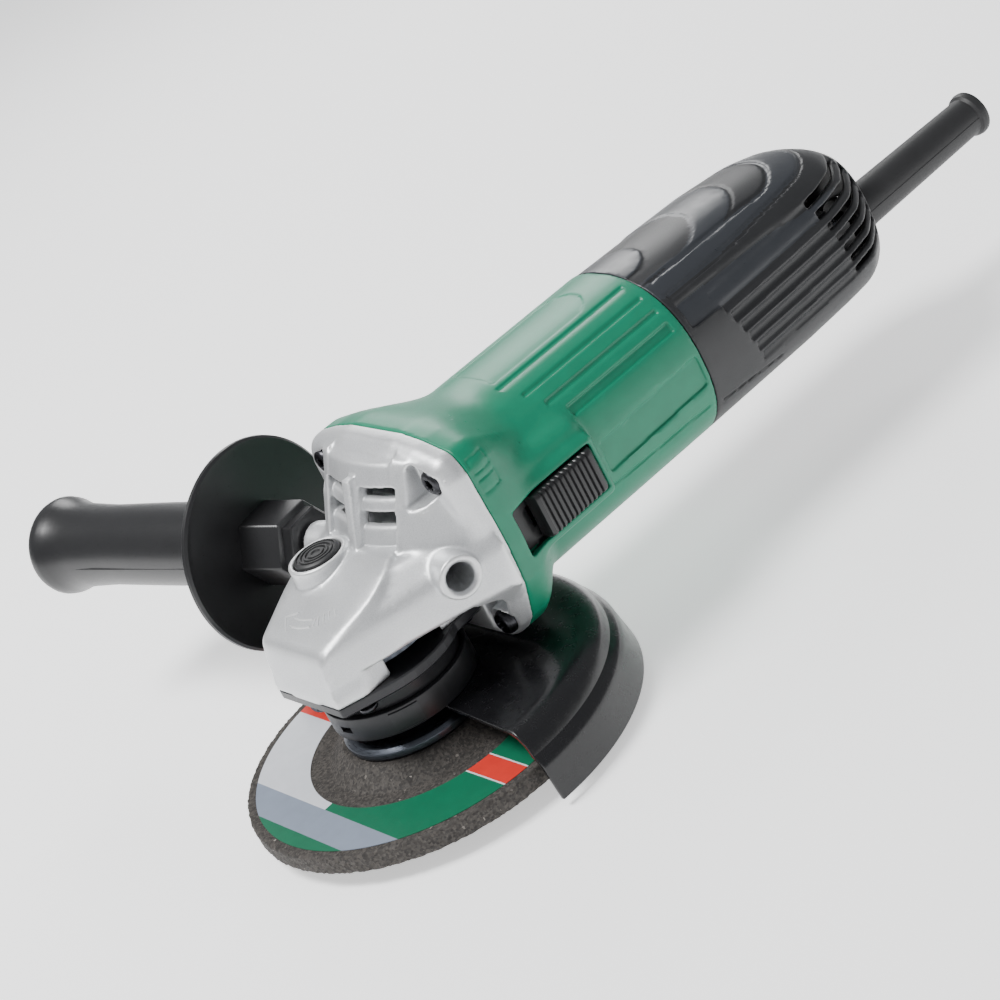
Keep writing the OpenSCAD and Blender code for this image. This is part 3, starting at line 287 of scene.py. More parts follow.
def make_materials():
    return {
        "alloy": cast_alloy(),
        "green": plain("green_nylon", (0.001, 0.185, 0.098), 0.38, 0.07, 2400, grain=0.12,
                       depth=0.04, edge=0.10),
        "charcoal": plain("charcoal_nylon", (0.015, 0.0155, 0.017), 0.44, 0.10, 2600, grain=0.10,
                          depth=0.04, edge=0.04),
        "gloss": plain("charcoal_inlay", (0.028, 0.031, 0.037), 0.34, 0.02, 200),
        "black": plain("black_nylon", (0.012, 0.012, 0.013), 0.33, 0.08, 2200, grain=0.05,
                       depth=0.03, edge=0.08),
        "paint": plain("black_enamel", (0.006, 0.006, 0.007), 0.24, 0.04, 300, edge=0.05),
        "dark_plate": plain("dark_cast_plate", (0.018, 0.018, 0.020), 0.36, 0.15, 1600, 0.3,
                            grain=0.25, depth=0.05, edge=0.5),
        "rubber": plain("black_rubber", (0.016, 0.016, 0.017), 0.52, 0.12, 2000, grain=0.2,
                        depth=0.04),
        "blackened": brushed("blackened_steel", (0.10, 0.11, 0.13), 0.32, "z"),
        "screw": brushed("blackened_screw", (0.05, 0.05, 0.055), 0.30, "x"),
        "steel": brushed("ground_steel", (0.55, 0.56, 0.58), 0.24, "z"),
        "bright": brushed("polished_bearing_steel", (0.70, 0.71, 0.73), 0.14, "x"),
        "stack": brushed("laminated_steel", (0.34, 0.35, 0.38), 0.38, "x"),
        "copper": plain("enamelled_copper", (0.50, 0.17, 0.06), 0.30, 0.25, 1800, 0.9, grain=0.5,
                        depth=0.12),
        "brass": brushed("drawn_brass", (0.62, 0.45, 0.17), 0.28, "y"),
        "bronze": plain("sintered_bronze", (0.42, 0.25, 0.10), 0.42, 0.2, 2500, 0.9, grain=0.4),
        "carbon": plain("pressed_carbon", (0.02, 0.02, 0.021), 0.6, 0.3, 3000, grain=0.5),
        "film": plain("capacitor_case", (0.50, 0.30, 0.04), 0.3, 0.08, 900, grain=0.1),
        "sheath": plain("wire_sheath", (0.03, 0.04, 0.20), 0.4, 0.1, 1500, grain=0.1),
        "grit": abrasive(),
        "label_green": plain("label_green", (0.002, 0.125, 0.060), 0.42, 0.08, 3000, grain=0.25),
        "label_red": plain("label_red", (0.62, 0.028, 0.018), 0.42, 0.06, 3000, grain=0.25),
        "label_white": plain("label_white", (0.62, 0.64, 0.68), 0.45, 0.04, 3000, grain=0.25),
        "label_grey": plain("label_grey", (0.22, 0.26, 0.33), 0.42, 0.05, 3000, grain=0.25),
    }


# ------------------------------------------------------------------ meshes

def mesh_object(name, points, faces, scale=MM, smooth=None):
    """A linked mesh object; smooth is the angle in degrees below which edges shade smooth."""
    mesh = bpy.data.meshes.new(name)
    mesh.from_pydata(np.asarray(points, float) * scale, [], [tuple(f) for f in faces])
    mesh.update()
    if smooth is not None:
        mesh.shade_smooth()
        if smooth < 180:
            mesh.set_sharp_from_angle(angle=math.radians(smooth))
    made = bpy.data.objects.new(name, mesh)
    bpy.context.scene.collection.objects.link(made)
    return made


def outward(obj):
    """Turns the faces of a closed mesh outwards."""
    work = bmesh.new()
    work.from_mesh(obj.data)
    bmesh.ops.remove_doubles(work, verts=work.verts, dist=1e-7)
    bmesh.ops.recalc_face_normals(work, faces=work.faces)
    if work.calc_volume(signed=True) < 0:
        bmesh.ops.reverse_faces(work, faces=work.faces)
    work.to_mesh(obj.data)
    work.free()
    return obj


def finish_piece(obj, body, slot, material, *nodes):
    materials = material if isinstance(material, (list, tuple)) else [material]
    for m in materials:
        obj.data.materials.append(MATERIALS[m])
    if nodes:
        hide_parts(*nodes)
    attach(obj, body)
    return obj


def joined(name, objects):
    """One object from several, keeping the first one's settings."""
    bpy.ops.object.select_all(action="DESELECT")
    for o in objects:
        o.select_set(True)
    bpy.context.view_layer.objects.active = objects[0]
    bpy.ops.object.join()
    objects[0].name = name
    return objects[0]


def rounded(points, radius, steps=4):
    """A closed outline with each corner turned into an arc."""
    made = []
    pts = [np.array(p, float) for p in points]
    for i, b in enumerate(pts):
        a, c = pts[i - 1], pts[(i + 1) % len(pts)]
        u, v = (a - b), (c - b)
        lu, lv = np.linalg.norm(u), np.linalg.norm(v)
        u, v = u / lu, v / lv
        half = math.acos(max(-1, min(1, float(u @ v)))) / 2
        if half > 1.5:
            made.append(b)
            continue
        reach = min(radius / math.tan(half), 0.45 * lu, 0.45 * lv)
        middle = b + (u + v) / np.linalg.norm(u + v) * (reach / math.cos(half))
        arc = reach * math.tan(half)
        for k in range(steps + 1):
            way = (b + u * reach - middle) * (1 - k / steps) + (b + v * reach - middle) * (k / steps)
            made.append(middle + way * arc / np.linalg.norm(way))
    return made


def revolved(profile, steps=96, start=0.0, sweep=360.0):
    """Points and faces of a closed (radius, height) outline turned about Z."""
    whole = sweep >= 360
    rings = steps if whole else steps + 1
    turns = [math.radians(start + sweep * k / steps) for k in range(rings)]
    n = len(profile)
    points = [(r * math.cos(t), r * math.sin(t), z) for t in turns for r, z in profile]
    faces = []
    for k in range(steps):
        a, b = k * n, ((k + 1) % rings) * n
        faces += [(a + i, b + i, b + (i + 1) % n, a + (i + 1) % n) for i in range(n)]
    if not whole:
        faces += [tuple(range(n)), tuple(range((rings - 1) * n, rings * n))]
    return points, faces


def solid(name, points, faces, smooth, matrix=None):
    """A closed mesh object with its faces outwards, moved by the matrix."""
    made = mesh_object(name, points, faces, MM, smooth)
    if matrix is not None:
        made.data.transform(matrix)
    outward(made)
    made.data.set_sharp_from_angle(angle=math.radians(smooth))
    return made


def turned(name, profile, steps=96, smooth=35, start=0.0, sweep=360.0, matrix=None):
    return solid(name, *revolved(profile, steps, start, sweep), smooth, matrix)


def placed(x=0, y=0, z=0, turn=None):
    """A matrix in metres from a place in millimetres and a rotation."""
    return Matrix.Translation(Vector((x, y, z)) * MM) @ (turn or Matrix.Identity(4))


def facing(direction):
    """The rotation that takes +Z to the direction."""
    return Vector(direction).to_track_quat("Z", "Y").to_matrix().to_4x4()


def stacked(name, layers, smooth=40, matrix=None):
    """A solid through layers of points, each layer a ring with the same count."""
    n = len(layers[0])
    points = [tuple(p) for layer in layers for p in layer]
    faces = [(k * n + i, k * n + (i + 1) % n, (k + 1) * n + (i + 1) % n, (k + 1) * n + i)
             for k in range(len(layers) - 1) for i in range(n)]
    faces += [tuple(range(n)), tuple(range((len(layers) - 1) * n, len(layers) * n))]
    return solid(name, points, faces, smooth, matrix)


def box_object(name, xs, ys, zs):
    """A box between two coordinates along each axis."""
    return mesh_object(name, [(x, y, z) for x in xs for y in ys for z in zs],
                       [(0, 1, 3, 2), (4, 6, 7, 5), (0, 4, 5, 1), (2, 3, 7, 6), (0, 2, 6, 4), (1, 5, 7, 3)])


def carve(obj, cutter):
    """Cuts the second object out of the first, and removes it."""
    cutting = obj.modifiers.new("cutting", "BOOLEAN")
    cutting.object = cutter
    cutting.solver = "EXACT"
    bpy.context.view_layer.objects.active = obj
    bpy.ops.object.modifier_apply(modifier="cutting")
    bpy.data.objects.remove(cutter)


# ------------------------------------------------------------------ distance fields

STEP = 0.45   # spacing of the sampled grid
FLATNESS = 0.02                      # how far flat areas may be thinned out


def common(*fields):
    """The part that all the fields share."""
    return functools.reduce(np.maximum, fields)


def smin(a, b, r):
    """The union of two fields, blended over the radius r."""
    h = np.maximum(r - np.abs(a - b), 0)
    return np.minimum(a, b) - h * h * (0.25 / r)


def smax(a, b, r):
    return -smin(-a, -b, r)


def cut(a, b, r=0.4):
    return smax(a, -b, r)


def length(*v):
    return np.sqrt(sum(c * c for c in v))


def slab_field(x, y, z, centre, half, r):
    """A box with rounded edges."""
    q = [np.abs(c - m) - (h - r) for c, m, h in zip((x, y, z), centre, half)]
    outside = length(*(np.maximum(v, 0) for v in q))
    return outside + np.minimum(np.maximum(np.maximum(q[0], q[1]), q[2]), 0) - r


def rod_field(u, v, w, radius, low, high, r=0.3):
    """A rod along w, with rounded ends, where u and v are measured from its axis."""
    side = length(u, v) - (radius - r)
    end = np.abs(w - (low + high) / 2) - ((high - low) / 2 - r)
    return length(np.maximum(side, 0), np.maximum(end, 0)) + np.minimum(np.maximum(side, end), 0) - r


def plane_field(x, y, z, normal, point):
    n = np.array(normal, float) / np.linalg.norm(normal)
    return n[0] * (x - point[0]) + n[1] * (y - point[1]) + n[2] * (z - point[2])


def outline_field(points, u, v):
    """Signed distance to a closed outline, negative inside."""
    best, inside = None, None
    n = len(points)
    for i in range(n):
        (ax, ay), (bx, by) = points[i], points[(i + 1) % n]
        ex, ey = bx - ax, by - ay
        t = np.clip(((u - ax) * ex + (v - ay) * ey) / (ex * ex + ey * ey), 0, 1)
        d = (u - ax - t * ex) ** 2 + (v - ay - t * ey) ** 2
        best = d if best is None else np.minimum(best, d)
        crosses = ((ay > v) != (by > v)) & (u < ex * (v - ay) / (ey if ey else 1e-9) + ax)
        inside = crosses if inside is None else inside ^ crosses
    return np.where(inside, -1.0, 1.0) * np.sqrt(best)


def barrel_field(y, z, a, b, n=2.3):
    """Distance to a rounded oval section, close to true near its edge."""
    size = (np.abs(y / a) ** n + np.abs(z / b) ** n) ** (1 / n)
    return (size - 1) * np.minimum(a, b)


def arch(x, y, end, half, tip):
    """Plan distance to a long panel whose rear end is a round arch."""
    return length(np.maximum(x - (end - tip), 0) * half / tip, y) - half


def eased(t):
    t = np.clip(t, 0, 1)
    return t * t * (3 - 2 * t)


def moulded(name, field, low, high):
    """The surface where the field function is zero, within a box given from the motor axis."""
    x, y, z = (np.arange(a, b + STEP, STEP, dtype=np.float32) for a, b in zip(low, high))
    values = field(x[:, None, None], y[None, :, None], z[None, None, :])
    band = 3 * STEP
    grid = openvdb.FloatGrid(band)
    grid.copyFromArray(np.ascontiguousarray(np.clip(values, -band, band).astype(np.float32)))
    points, triangles, quads = grid.convertToPolygons(isovalue=0.0, adaptivity=FLATNESS)
    points = points * STEP + np.array(low) + np.array((0, 0, MOTOR_Z))
    faces = [tuple(q) for q in quads.tolist()] + [tuple(t) for t in triangles.tolist()]
    return outward(mesh_object(name, points, faces, MM, 180))


def face_centres(obj):
    """Middles of the faces in millimetres, with heights from the motor axis."""
    centres = np.empty(len(obj.data.polygons) * 3, np.float32)
    obj.data.polygons.foreach_get("center", centres)
    x, y, z = (centres.reshape(-1, 3) / MM).T
    return x, y, z - MOTOR_Z


FLANGE_OUTLINE = [
    (12.5, 35.3), (22, 33.9), (33.5, 31), (36.4, 25), (37.3, 10), (37.5, 0), (36, -13), (30.5, -26),
    (25, -31), (-25, -31), (-30.5, -26), (-36, -13), (-37.5, 0), (-37.3, 10), (-36.4, 25),
    (-33.5, 31), (-22, 33.9), (-12.5, 35.3),
]


# ------------------------------------------------------------------ gear case

def foot_outline():
    """Plan of the nose: a flat front edge, and an arc round the spindle behind it."""
    front, half, r, centre = -27.1, 16.3, 26.2, -1.5
    arc = [math.radians(a) for a in range(-117, 118, 9)]
    return ([(front, half), (front, -half)]
            + [(centre + r * math.cos(a), r * math.sin(a)) for a in arc])


def deck_height(x):
    return -0.3 + 0.3545 * (x + 23.6)


def gear_case_field(x, y, z):
    w = np.abs(y)
    plan = outline_field(foot_outline(), x, y)
    # nose: drafted sides, the sloping deck, and the wide bevel over the front
    nose = (plan + 0.222 * np.maximum(z + 14.2, 0)) * 0.976
    deck = plane_field(x, y, z, (-0.3545, 0, 1), (-23.6, 0, 0))
    brow = plane_field(x, w, z, (-0.80, 0, 0.60), (-24.3, 0, -1.6))
    nose = smax(smax(nose, brow, 1.2), deck, 1.4)
    # shoulders: the side plane flares out to the flange, bevelled along the deck
    side = plane_field(x, w, z, (-0.40, 0.913, 0.077), (-25.1, 16.5, -4))
    bevel = plane_field(x, w, z, (-0.30, 0.60, 0.72), (4.3, 20.2, 9.4))
    under = plane_field(x, w, z, (-0.28, 0.60, -0.75), (8.3, 31.3, -9.4))
    shoulder = smax(smax(side, bevel, 2.0), under, 1.5)
    shoulder = smax(shoulder, deck, 1.4)
    chin = plane_field(x, w, z, (-0.976, 0, 0.217), (-27.1, 0, -14.2))
    shoulder = smax(smax(shoulder, chin, 1.2), brow, 1.2)
    shoulder = smax(shoulder, plane_field(x, w, z, (0, 0, 1), (0, 0, 9.7)), 1.5)
    shoulder = smax(shoulder, x - (FLANGE_X - 2), 0.5)
    body = smin(nose, shoulder, 1.2)
    heel = slab_field(x, y, z, (19, 0, -9), (7.5, 19.6, 7.1), 1.2)
    body = np.maximum(smin(body, heel, 1), -(z + 16.1))
    # flange with a softened front edge
    rim = outline_field(rounded(FLANGE_OUTLINE, 5), y, z)
    flange = smax(rim, 24.6 - x, 1.5)
    flange = smax(flange, (rim + 24.6 - x) * 0.707 + 2.2, 1.5)
    flange = np.maximum(flange, x - FLANGE_X)
    body = smin(body, flange, 1.6)
    # block of the air outlet, its front leaning back and bowed in plan
    front = plane_field(x, w, z, (-0.875, 0, 0.484), (8.4, 0, 11)) + 0.0088 * w * w
    prop = plane_field(x, w, z, (-0.652, 0.695, 0.30), (15.5, 24.5, 13))
    prop = smax(smax(prop, w - 35.5, 2), z - 31 - 0.25 * (24 - w), 2)
    prop = smax(np.maximum(prop, x - (FLANGE_X - 2)), front, 0.8)
    body = smin(body, common(prop, 4 - z, 16.5 - w), 1.2)
    block = smax(front, w - (17.9 + 0.15 * (z - 10)), 0.7)
    roof = z - (32.2 + 0.13 * (x - 20) - 0.0035 * w * w)
    block = smax(block, roof, 1.0)
    block = common(block, x - FLANGE_X, 2 - z)
    body = smin(body, block, 1.5)
    # recessed windows either side of the middle post, with rounded louvre bars
    for side_y in (-9.8, 9.8):
        window = np.abs(y - side_y) - 7.4
        body = cut(body, common(window, -(front + 1.5), np.abs(z - 18.3) - 7.4), 0.5)
        for level, half in ((17.4, 1.7), (24.1, 1.6)):
            body = cut(body, common(window, np.abs(z - level) - half, x - 26, -(front + 9)), 0.9)
    # keel that runs from the middle post down to the deck
    keel = plane_field(x, w, z, (-0.92, 0, 0.40), (7.4, 0, 11))
    body = smin(body, common(keel, w - 1.7, x - 20, z - 29, 4 - z), 0.9)
    # boss of the spindle lock, with its rim and pocket
    boss = rod_field(x - LOCK[0], y - LOCK[1], z, 9.2, -4, 12, 0.5)
    body = smin(body, boss, 1.3)
    body = cut(body, rod_field(x - LOCK[0], y - LOCK[1], z, 7.65, 5.4, 20, 0.2), 0.5)
    # handle sockets, each a boss with a chamfered mouth
    ca, sa = math.cos(LEAN), math.sin(LEAN)
    dx, dw, dz = x - SOCKET.x, w - SOCKET.y, z - (SOCKET.z - MOTOR_Z)
    along = -sa * dx + ca * dw
    across = ca * dx + sa * dw
    body = smin(body, rod_field(across, dz, along, 6.5, -14, 0, 0.6), 1.0)
    body = cut(body, rod_field(across, dz, along, 4.0, -16, 6, 0.1), 0.3)
    body = cut(body, length(across, dz) - (4.2 + np.maximum(along + 0.9, 0)), 0.2)
    # triangular pockets of the upper screws
    pocket = outline_field(rounded([(20.8, 31.5), (20.8, 19.5), (26, 19.9), (31.3, 22.5), (32, 26.5)],
                                   1.6), w, z)
    body = cut(body, np.maximum(pocket, x - (FLANGE_X - 5)), 0.8)
    # seats of the lower screws, and the recess round their bosses; the recess has no limit
    # in front, so it also opens the sides of the nose low down
    low_screw = length(w - SCREWS[1][0], z - SCREWS[1][1])
    body = cut(body, np.maximum(low_screw - 4.8, x - (FLANGE_X - 5)), 0.8)
    hollow = common(rim + 2.6, z + 9.5, 20.5 - w, x - (FLANGE_X - 2.6), 5.4 - low_screw)
    body = cut(body, hollow, 0.8)
    # inside: gear chamber, pinion bore, duct behind the louvres, and the air way back
    from_motor = length(y, z)
    body = cut(body, np.maximum(length(x, y) - 22.4, z + 5), 0.5)
    body = cut(body, common(from_motor - 13, 26 - x, 0), 0.3)
    body = cut(body, common(from_motor - 8.4, 9 - x, x - 40), 0.3)
    body = cut(body, np.maximum(block + 3.6, 13.5 - z), 0.4)
    return cut(body, slab_field(x, y, z, (36, 0, 22), (12, 16, 8), 1.5), 0.4)


def arc_ribbon(name, path, width, height, lift):
    """A raised strip with sloping sides along points on a surface with the given height."""
    path = [np.array(p, float) for p in path]
    layers = []
    for i, p in enumerate(path):
        along = path[min(i + 1, len(path) - 1)] - path[max(i - 1, 0)]
        side = np.array((-along[1], along[0])) / np.linalg.norm(along)
        ring = []
        for offset, rise in ((-width / 2, -0.4), (-width / 2, 0), (-width * 0.3, height),
                             (width * 0.3, height), (width / 2, 0), (width / 2, -0.4)):
            q = p + side * offset
            ring.append((q[0], q[1], lift(q[0]) + rise))
        layers.append(ring)
    return stacked(name, layers, 50)


def lock_mark():
    """The raised sign on the deck: a curved arrow with four hatch strokes behind it."""
    centre, radius = (4.5, 4.5), 21.5

    def lift(x):
        return MOTOR_Z + deck_height(x) + 0.62

    def at(angle, r=radius):
        t = math.radians(angle)
        return (centre[0] + r * math.cos(t), centre[1] + r * math.sin(t))

    paths = []
    for r in (radius - 1.2, radius + 1.2):
        paths.append([at(a, r) for a in range(176, 203, 3)])
    paths.append([at(203, radius - 1.2), at(203, radius + 1.2)])
    for r in (radius - 3.1, radius + 3.1):
        paths.append([at(164), at(176, r)])
    for a in (208, 213.5, 219, 224.5):
        paths.append([at(a - 2, radius - 1.7), at(a, radius + 1.7)])
    return joined("mark", [arc_ribbon("stroke", path, 0.5, 0.28, lift) for path in paths])


def add_gear_case():
    case = moulded("gear_case_cast", gear_case_field, (-29, -39.5, -32.5), (FLANGE_X + 1, 39.5, 37))
    case = joined("gear_case_cast", [case, lock_mark()])
    finish_piece(case, "grinder", "cast_alloy", "alloy", "gear_case")


def add_bearing_cover():
    """Dark plate under the nose, and the neck that the guard clamps on."""
    z = {k: MOTOR_Z + v for k, v in (("top", -16.05), ("mid", -18.9), ("low", -19.8))}
    arc = [p for p in foot_outline() if p[0] < 14]
    plan = ([p for p in arc if p[1] > 0 and p != arc[0]][::-1] + arc[:2]
            + [p for p in arc if p[1] < 0 and p != arc[1]][::-1] + [(25, -19.5), (25, 19.5)])

    def ring(inset, height):
        outline = []
        for px, py in rounded(sorted(plan, key=lambda q: math.atan2(q[1], q[0])), 1.2, 3):
            reach = math.hypot(px, py)
            outline.append((px * (1 - inset / reach), py * (1 - inset / reach), height))
        return outline

    plate = stacked("plate", [ring(0.5, z["top"]), ring(0.1, z["top"] - 0.4), ring(0.1, z["mid"]),
                              ring(1.3, z["low"])], 30)
    floor_z = span("bearing_cover", "z")[0]
    neck = turned("neck", rounded([(16.2, floor_z), (21.0, floor_z), (21.0, z["low"] - 1.2),
                                   (24.2, z["low"] + 0.3), (16.2, z["low"] + 0.3)], 0.4), 96)
    cover = joined("bearing_cover_plate", [plate, neck])
    finish_piece(cover, "grinder", "black_steel", "dark_plate", "bearing_cover")


# ------------------------------------------------------------------ screws

def recessed_screw(name, radius, height, shank, length_mm):
    """A domed head with a lobed socket, on a plain shank; the seat is at z = 0."""
    n, lobes = 48, 6
    turn = [2 * math.pi * k / n for k in range(n)]

    def ring(r, z, wave=0.0):
        return [((r + wave * math.cos(lobes * t)) * math.cos(t),
                 (r + wave * math.cos(lobes * t)) * math.sin(t), z) for t in turn]

    socket, wave = radius * 0.42, radius * 0.07
    layers = [ring(shank, -length_mm), ring(shank, 0), ring(radius * 0.97, 0), ring(radius, 0.2),
              ring(radius, height * 0.45), ring(radius * 0.93, height * 0.75),
              ring(radius * 0.78, height * 0.95), ring(socket + 0.3, height),
              ring(socket, height - 0.15, wave), ring(socket * 0.94, height * 0.25, wave)]
    return stacked(name, layers, 38)


def screw_group(name, cad_node, places, direction, size):
    """One piece of equal screws; size is head radius, head height, shank radius and length."""
    made = []
    for i, place in enumerate(places):
        screw = recessed_screw(f"{name}_{i}", *size)
        screw.data.transform(placed(*place, facing(direction)))
        made.append(screw)
    finish_piece(joined(name, made), "grinder", "black_steel", "screw", cad_node)


def add_screws():
    case = [(FLANGE_X - 5, side * a, MOTOR_Z + b) for a, b in SCREWS for side in (-1, 1)]
    screw_group("case_screws_torx", "case_screws", case, (-1, 0, 0), (3.9, 2.9, 2, 13))
    seat = MOTOR_Z - 19.6
    under = [(x, side * y, seat) for x, y in ((-19.5, 18), (20, 15.5)) for side in (1, -1)]
    screw_group("cover_screws_torx", "cover_screws", under, (0, 0, -1), (2.8, 1.6, 1.5, 5))


# ------------------------------------------------------------------ motor housing

def housing_shape(x, y, z):
    """Outside of the green housing, without its recesses."""
    flare = 1 - eased((x - 35.5) / 25)
    # the underside drops back to the barrel sooner than the top does
    quick = 1 - eased((x - 37) / 15)
    mix = np.where(z < -8, quick, flare)
    mix = np.where((z >= -14) & (z < 2), quick + (flare - quick) * eased((z + 14) / 16), mix)
    rim = outline_field(rounded(FLANGE_OUTLINE, 5), y, z)
    barrel = barrel_field(y, z, *BARREL)
    return rim * mix + barrel * (1 - mix)


def on_barrel(w, z, width, height):
    """Distance along the barrel's skin from the point with the given width and height."""
    ny, nz = ((v / half) ** 1.3 / half for v, half in zip((width, height), BARREL))
    size = math.hypot(ny, nz)
    return (w - width) * nz / size - (z - height) * ny / size


def sunk(u, half, x, start, end, shape, depth):
    """A channel |u| <= half between two stations, sunk below the outside shape."""
    return common(np.abs(u) - half, start - x, x - end, -(shape + depth))


# each channel's place on the barrel's section, its half width, its front end and its depth
CHANNELS = ((13.3, 27.0, 0.7, 64.5, 0.5), (19.7, 23.7, 0.7, 67.5, 0.6),
            (24.3, 19.5, 0.8, 70.5, 0.6), (27.6, 14.3, 1.7, 74.5, 0.8))


def motor_housing_field(x, y, z):
    w = np.abs(y)
    shape = housing_shape(x, y, z)
    body = shape
    # raised surround of the slide switch, with a soft hump over it
    pad = slab_field(x, y, z, (55, -27, -1.2), (18.2, 7.6, 10.2), 2.2)
    body = smin(body, pad, 2.5)
    hump = slab_field(x, y, z, (57, -24.6, 10.5), (15.5, 7.2, 4.2), 3.5)
    body = smin(body, hump, 4.0)
    # long channels along each shoulder, and the sunk panel on top that ends in an arch
    for width, height, half, start, depth in CHANNELS:
        u = on_barrel(w, z, width, height)
        channel = sunk(u, half, x, start, SEAM_X - 3.2, shape, depth)
        body = cut(body, common(channel, 3 - z, 8 - w), 0.4)
    panel = common(arch(x, y, 109, 10.6, 10.6), 10 - z, -(shape + 0.3), 66 - x)
    body = cut(body, panel, 0.3)
    # blank panel on each side and the line below it
    lift = 0.035 * (x - 97)
    panel = slab_field(x, w, z - lift, (97.3, 30, -2.6), (21.0, 6, 5.0), 0.9)
    body = cut(body, np.maximum(panel, -(shape + 0.8)), 0.4)
    line = sunk(z + 13.2 + 0.03 * (x - 95), 0.45, x, 68, SEAM_X - 3, shape, 0.5)
    body = cut(body, np.maximum(line, 15 - w), 0.3)
    # small engraved frames behind the flange
    for middle in (25.0, 18.6):
        outer = slab_field(x, z, w, (36.8, middle, 36), (3.4, 2.3, 8), 0.4)
        inner = slab_field(x, z, w, (36.8, middle, 36), (2.9, 1.8, 9), 0.3)
        body = cut(body, common(outer, -inner, -(shape + 0.35)), 0.2)
    # switch recess, the hollow inside, the recess's floor and its slot for the knob's stem
    body = cut(body, slab_field(x, y, z, (54.4, -40, -1), (16.6, 9.3, 7.6), 0.8), 0.5)
    body = cut(body, np.maximum(shape + 2.2, 0), 0.3)
    floor = slab_field(x, y, z, (54, -29, -1.2), (18, 2.0, 9.6), 0.5)
    body = smin(body, np.maximum(floor, shape + 0.2 - 5), 0.3)
    body = cut(body, slab_field(x, y, z, (54.6, -30, -1), (9.0, 6, 3.3), 0.2), 0.2)
    return common(body, FLANGE_X + 0.15 - x, x - (SEAM_X - 0.12))


def add_motor_housing():
    shell = moulded("motor_housing_moulded", motor_housing_field,
                    (FLANGE_X - 1, -39.5, -33), (SEAM_X + 1, 39.5, 37))
    finish_piece(shell, "grinder", "green_housing", ["green", "black"], "motor_housing")
    # the floor of the switch recess is painted black: partly the black slide plate under the knob, partly
    # painted shade in the recess
    x, y, z = face_centres(shell)
    slider_plate_and_shade = (np.abs(x - 54.8) < 17) & (np.abs(z + 1) < 7.8) & (y < -28) & (y > -33.4)
    shell.data.polygons.foreach_set("material_index", slider_plate_and_shade.astype(np.int32))


# ------------------------------------------------------------------ tail cover

# station, half width, half height and middle height
TAIL_STATIONS = [
    (SEAM_X - 1, *BARREL, 0.0), (165, 30.0, 28.3, -0.5), (186, 29.2, 27.0, -1.2),
    (TAIL_X - 17, 26.3, 25.7, -2.6), (TAIL_X - 10, 20.5, 23.8, -4.2), (TAIL_X - 5, 15.4, 21.2, -5.8),
    (TAIL_X - 1.5, 11.0, 18.6, -6.9), (TAIL_X, 8.5, 16.5, -7.5), (TAIL_X + 8, 2.0, 4.0, -9),
]
SLOTS = 7
SLOT_PITCH = 4.4


def tail_shape(x, y, z):
    stations = [s[0] for s in TAIL_STATIONS]
    fine = np.arange(stations[0], stations[-1], 0.5)
    a, b, m = (np.interp(fine, stations, [s[k] for s in TAIL_STATIONS]) for k in (1, 2, 3))
    # the stations run together smoothly
    window = np.hanning(19) / np.hanning(19).sum()
    a, b, m = (np.interp(x.ravel(), fine[9:-9], np.convolve(v, window, "valid"))
               .reshape(x.shape).astype(np.float32) for v in (a, b, m))
    return smax(barrel_field(y, z - m, a, b) * 0.88, x - TAIL_X, 2.5)


def petals(x, y):
    """The panels nested along the top, as plan distances from the front one to the back."""
    t = np.clip((x - SEAM_X) / 78, 0, 1)
    return [arch(x, y, 134, 11.6, 11.6), arch(x, y, 153, 15.8, 15.8), arch(x, y, 170, 17.0, 17.0),
            arch(x, y, 186, 17.6 - 1.5 * t, 16), arch(x, y, 199, 23.4 - 8 * t ** 2.5, 15)]


def channel_middle(x):
    """How far the wide channel runs from the middle plane."""
    return 27.0 - 0.0042 * np.maximum(x - 170, 0) ** 2


def tail_cover_field(x, y, z):
    w = np.abs(y)
    shape = tail_shape(x, y, z)
    body = shape
    upper = 4 - z
    panels = petals(x, y)
    # grooves round the panels, and the second panel a hair lower than the others
    for panel in panels[:3]:
        body = cut(body, common(-panel, panel - 0.9, upper, -(shape + 0.22)), 0.3)
    body = cut(body, common(panels[1], -panels[0], -(shape + 0.30), upper), 0.25)
    for panel in panels[3:]:
        body = cut(body, common(np.abs(panel) - 0.75, SEAM_X + 3 - x, upper, -(shape + 0.45)), 0.3)
    # wide channel beside the panels
    channel = sunk(w - channel_middle(x), 1.9, x, SEAM_X + 2.5, 203, shape, 0.7)
    body = cut(body, np.maximum(channel, 9 - z), 0.5)
    # hollowed flutes on each side, which run back into the air slots
    rise = 0.014 * (x - 160)
    half = 2.05
    for k in range(SLOTS):
        u = (z - (13.6 - SLOT_PITCH * k) - rise) / half
        hollow = -(shape + 0.95 * (1 - np.minimum(u * u, 1.5)))
        start = 133.5 + 1.35 * k
        flute = common(hollow, start - x, np.abs(u) * half - half, 12 - w, x - 208)
        body = cut(body, flute, 0.25)
    # the hollow inside, and the air slots through the wall
    body = cut(body, shape + 2.3, 0.3)
    for k in range(SLOTS):
        start = 180.3 + 1.1 * k
        slot = np.abs(z - (14.1 - SLOT_PITCH * k) - rise) - 1.35
        body = cut(body, common(slot, start - x, x - 209, 9.5 - w), 0.4)
    # line along the lower edge, and the cord guard's hole
    line = sunk(z + 15.6 + 0.1 * (x - 119), 0.4, x, SEAM_X + 3, 150, shape, 0.5)
    body = cut(body, np.maximum(line, 15 - w), 0.3)
    body = cut(body, np.maximum(length(y, z - CORD_Z) - 7.6, 200 - x), 0.4)
    return np.maximum(body, SEAM_X + 0.12 - x)


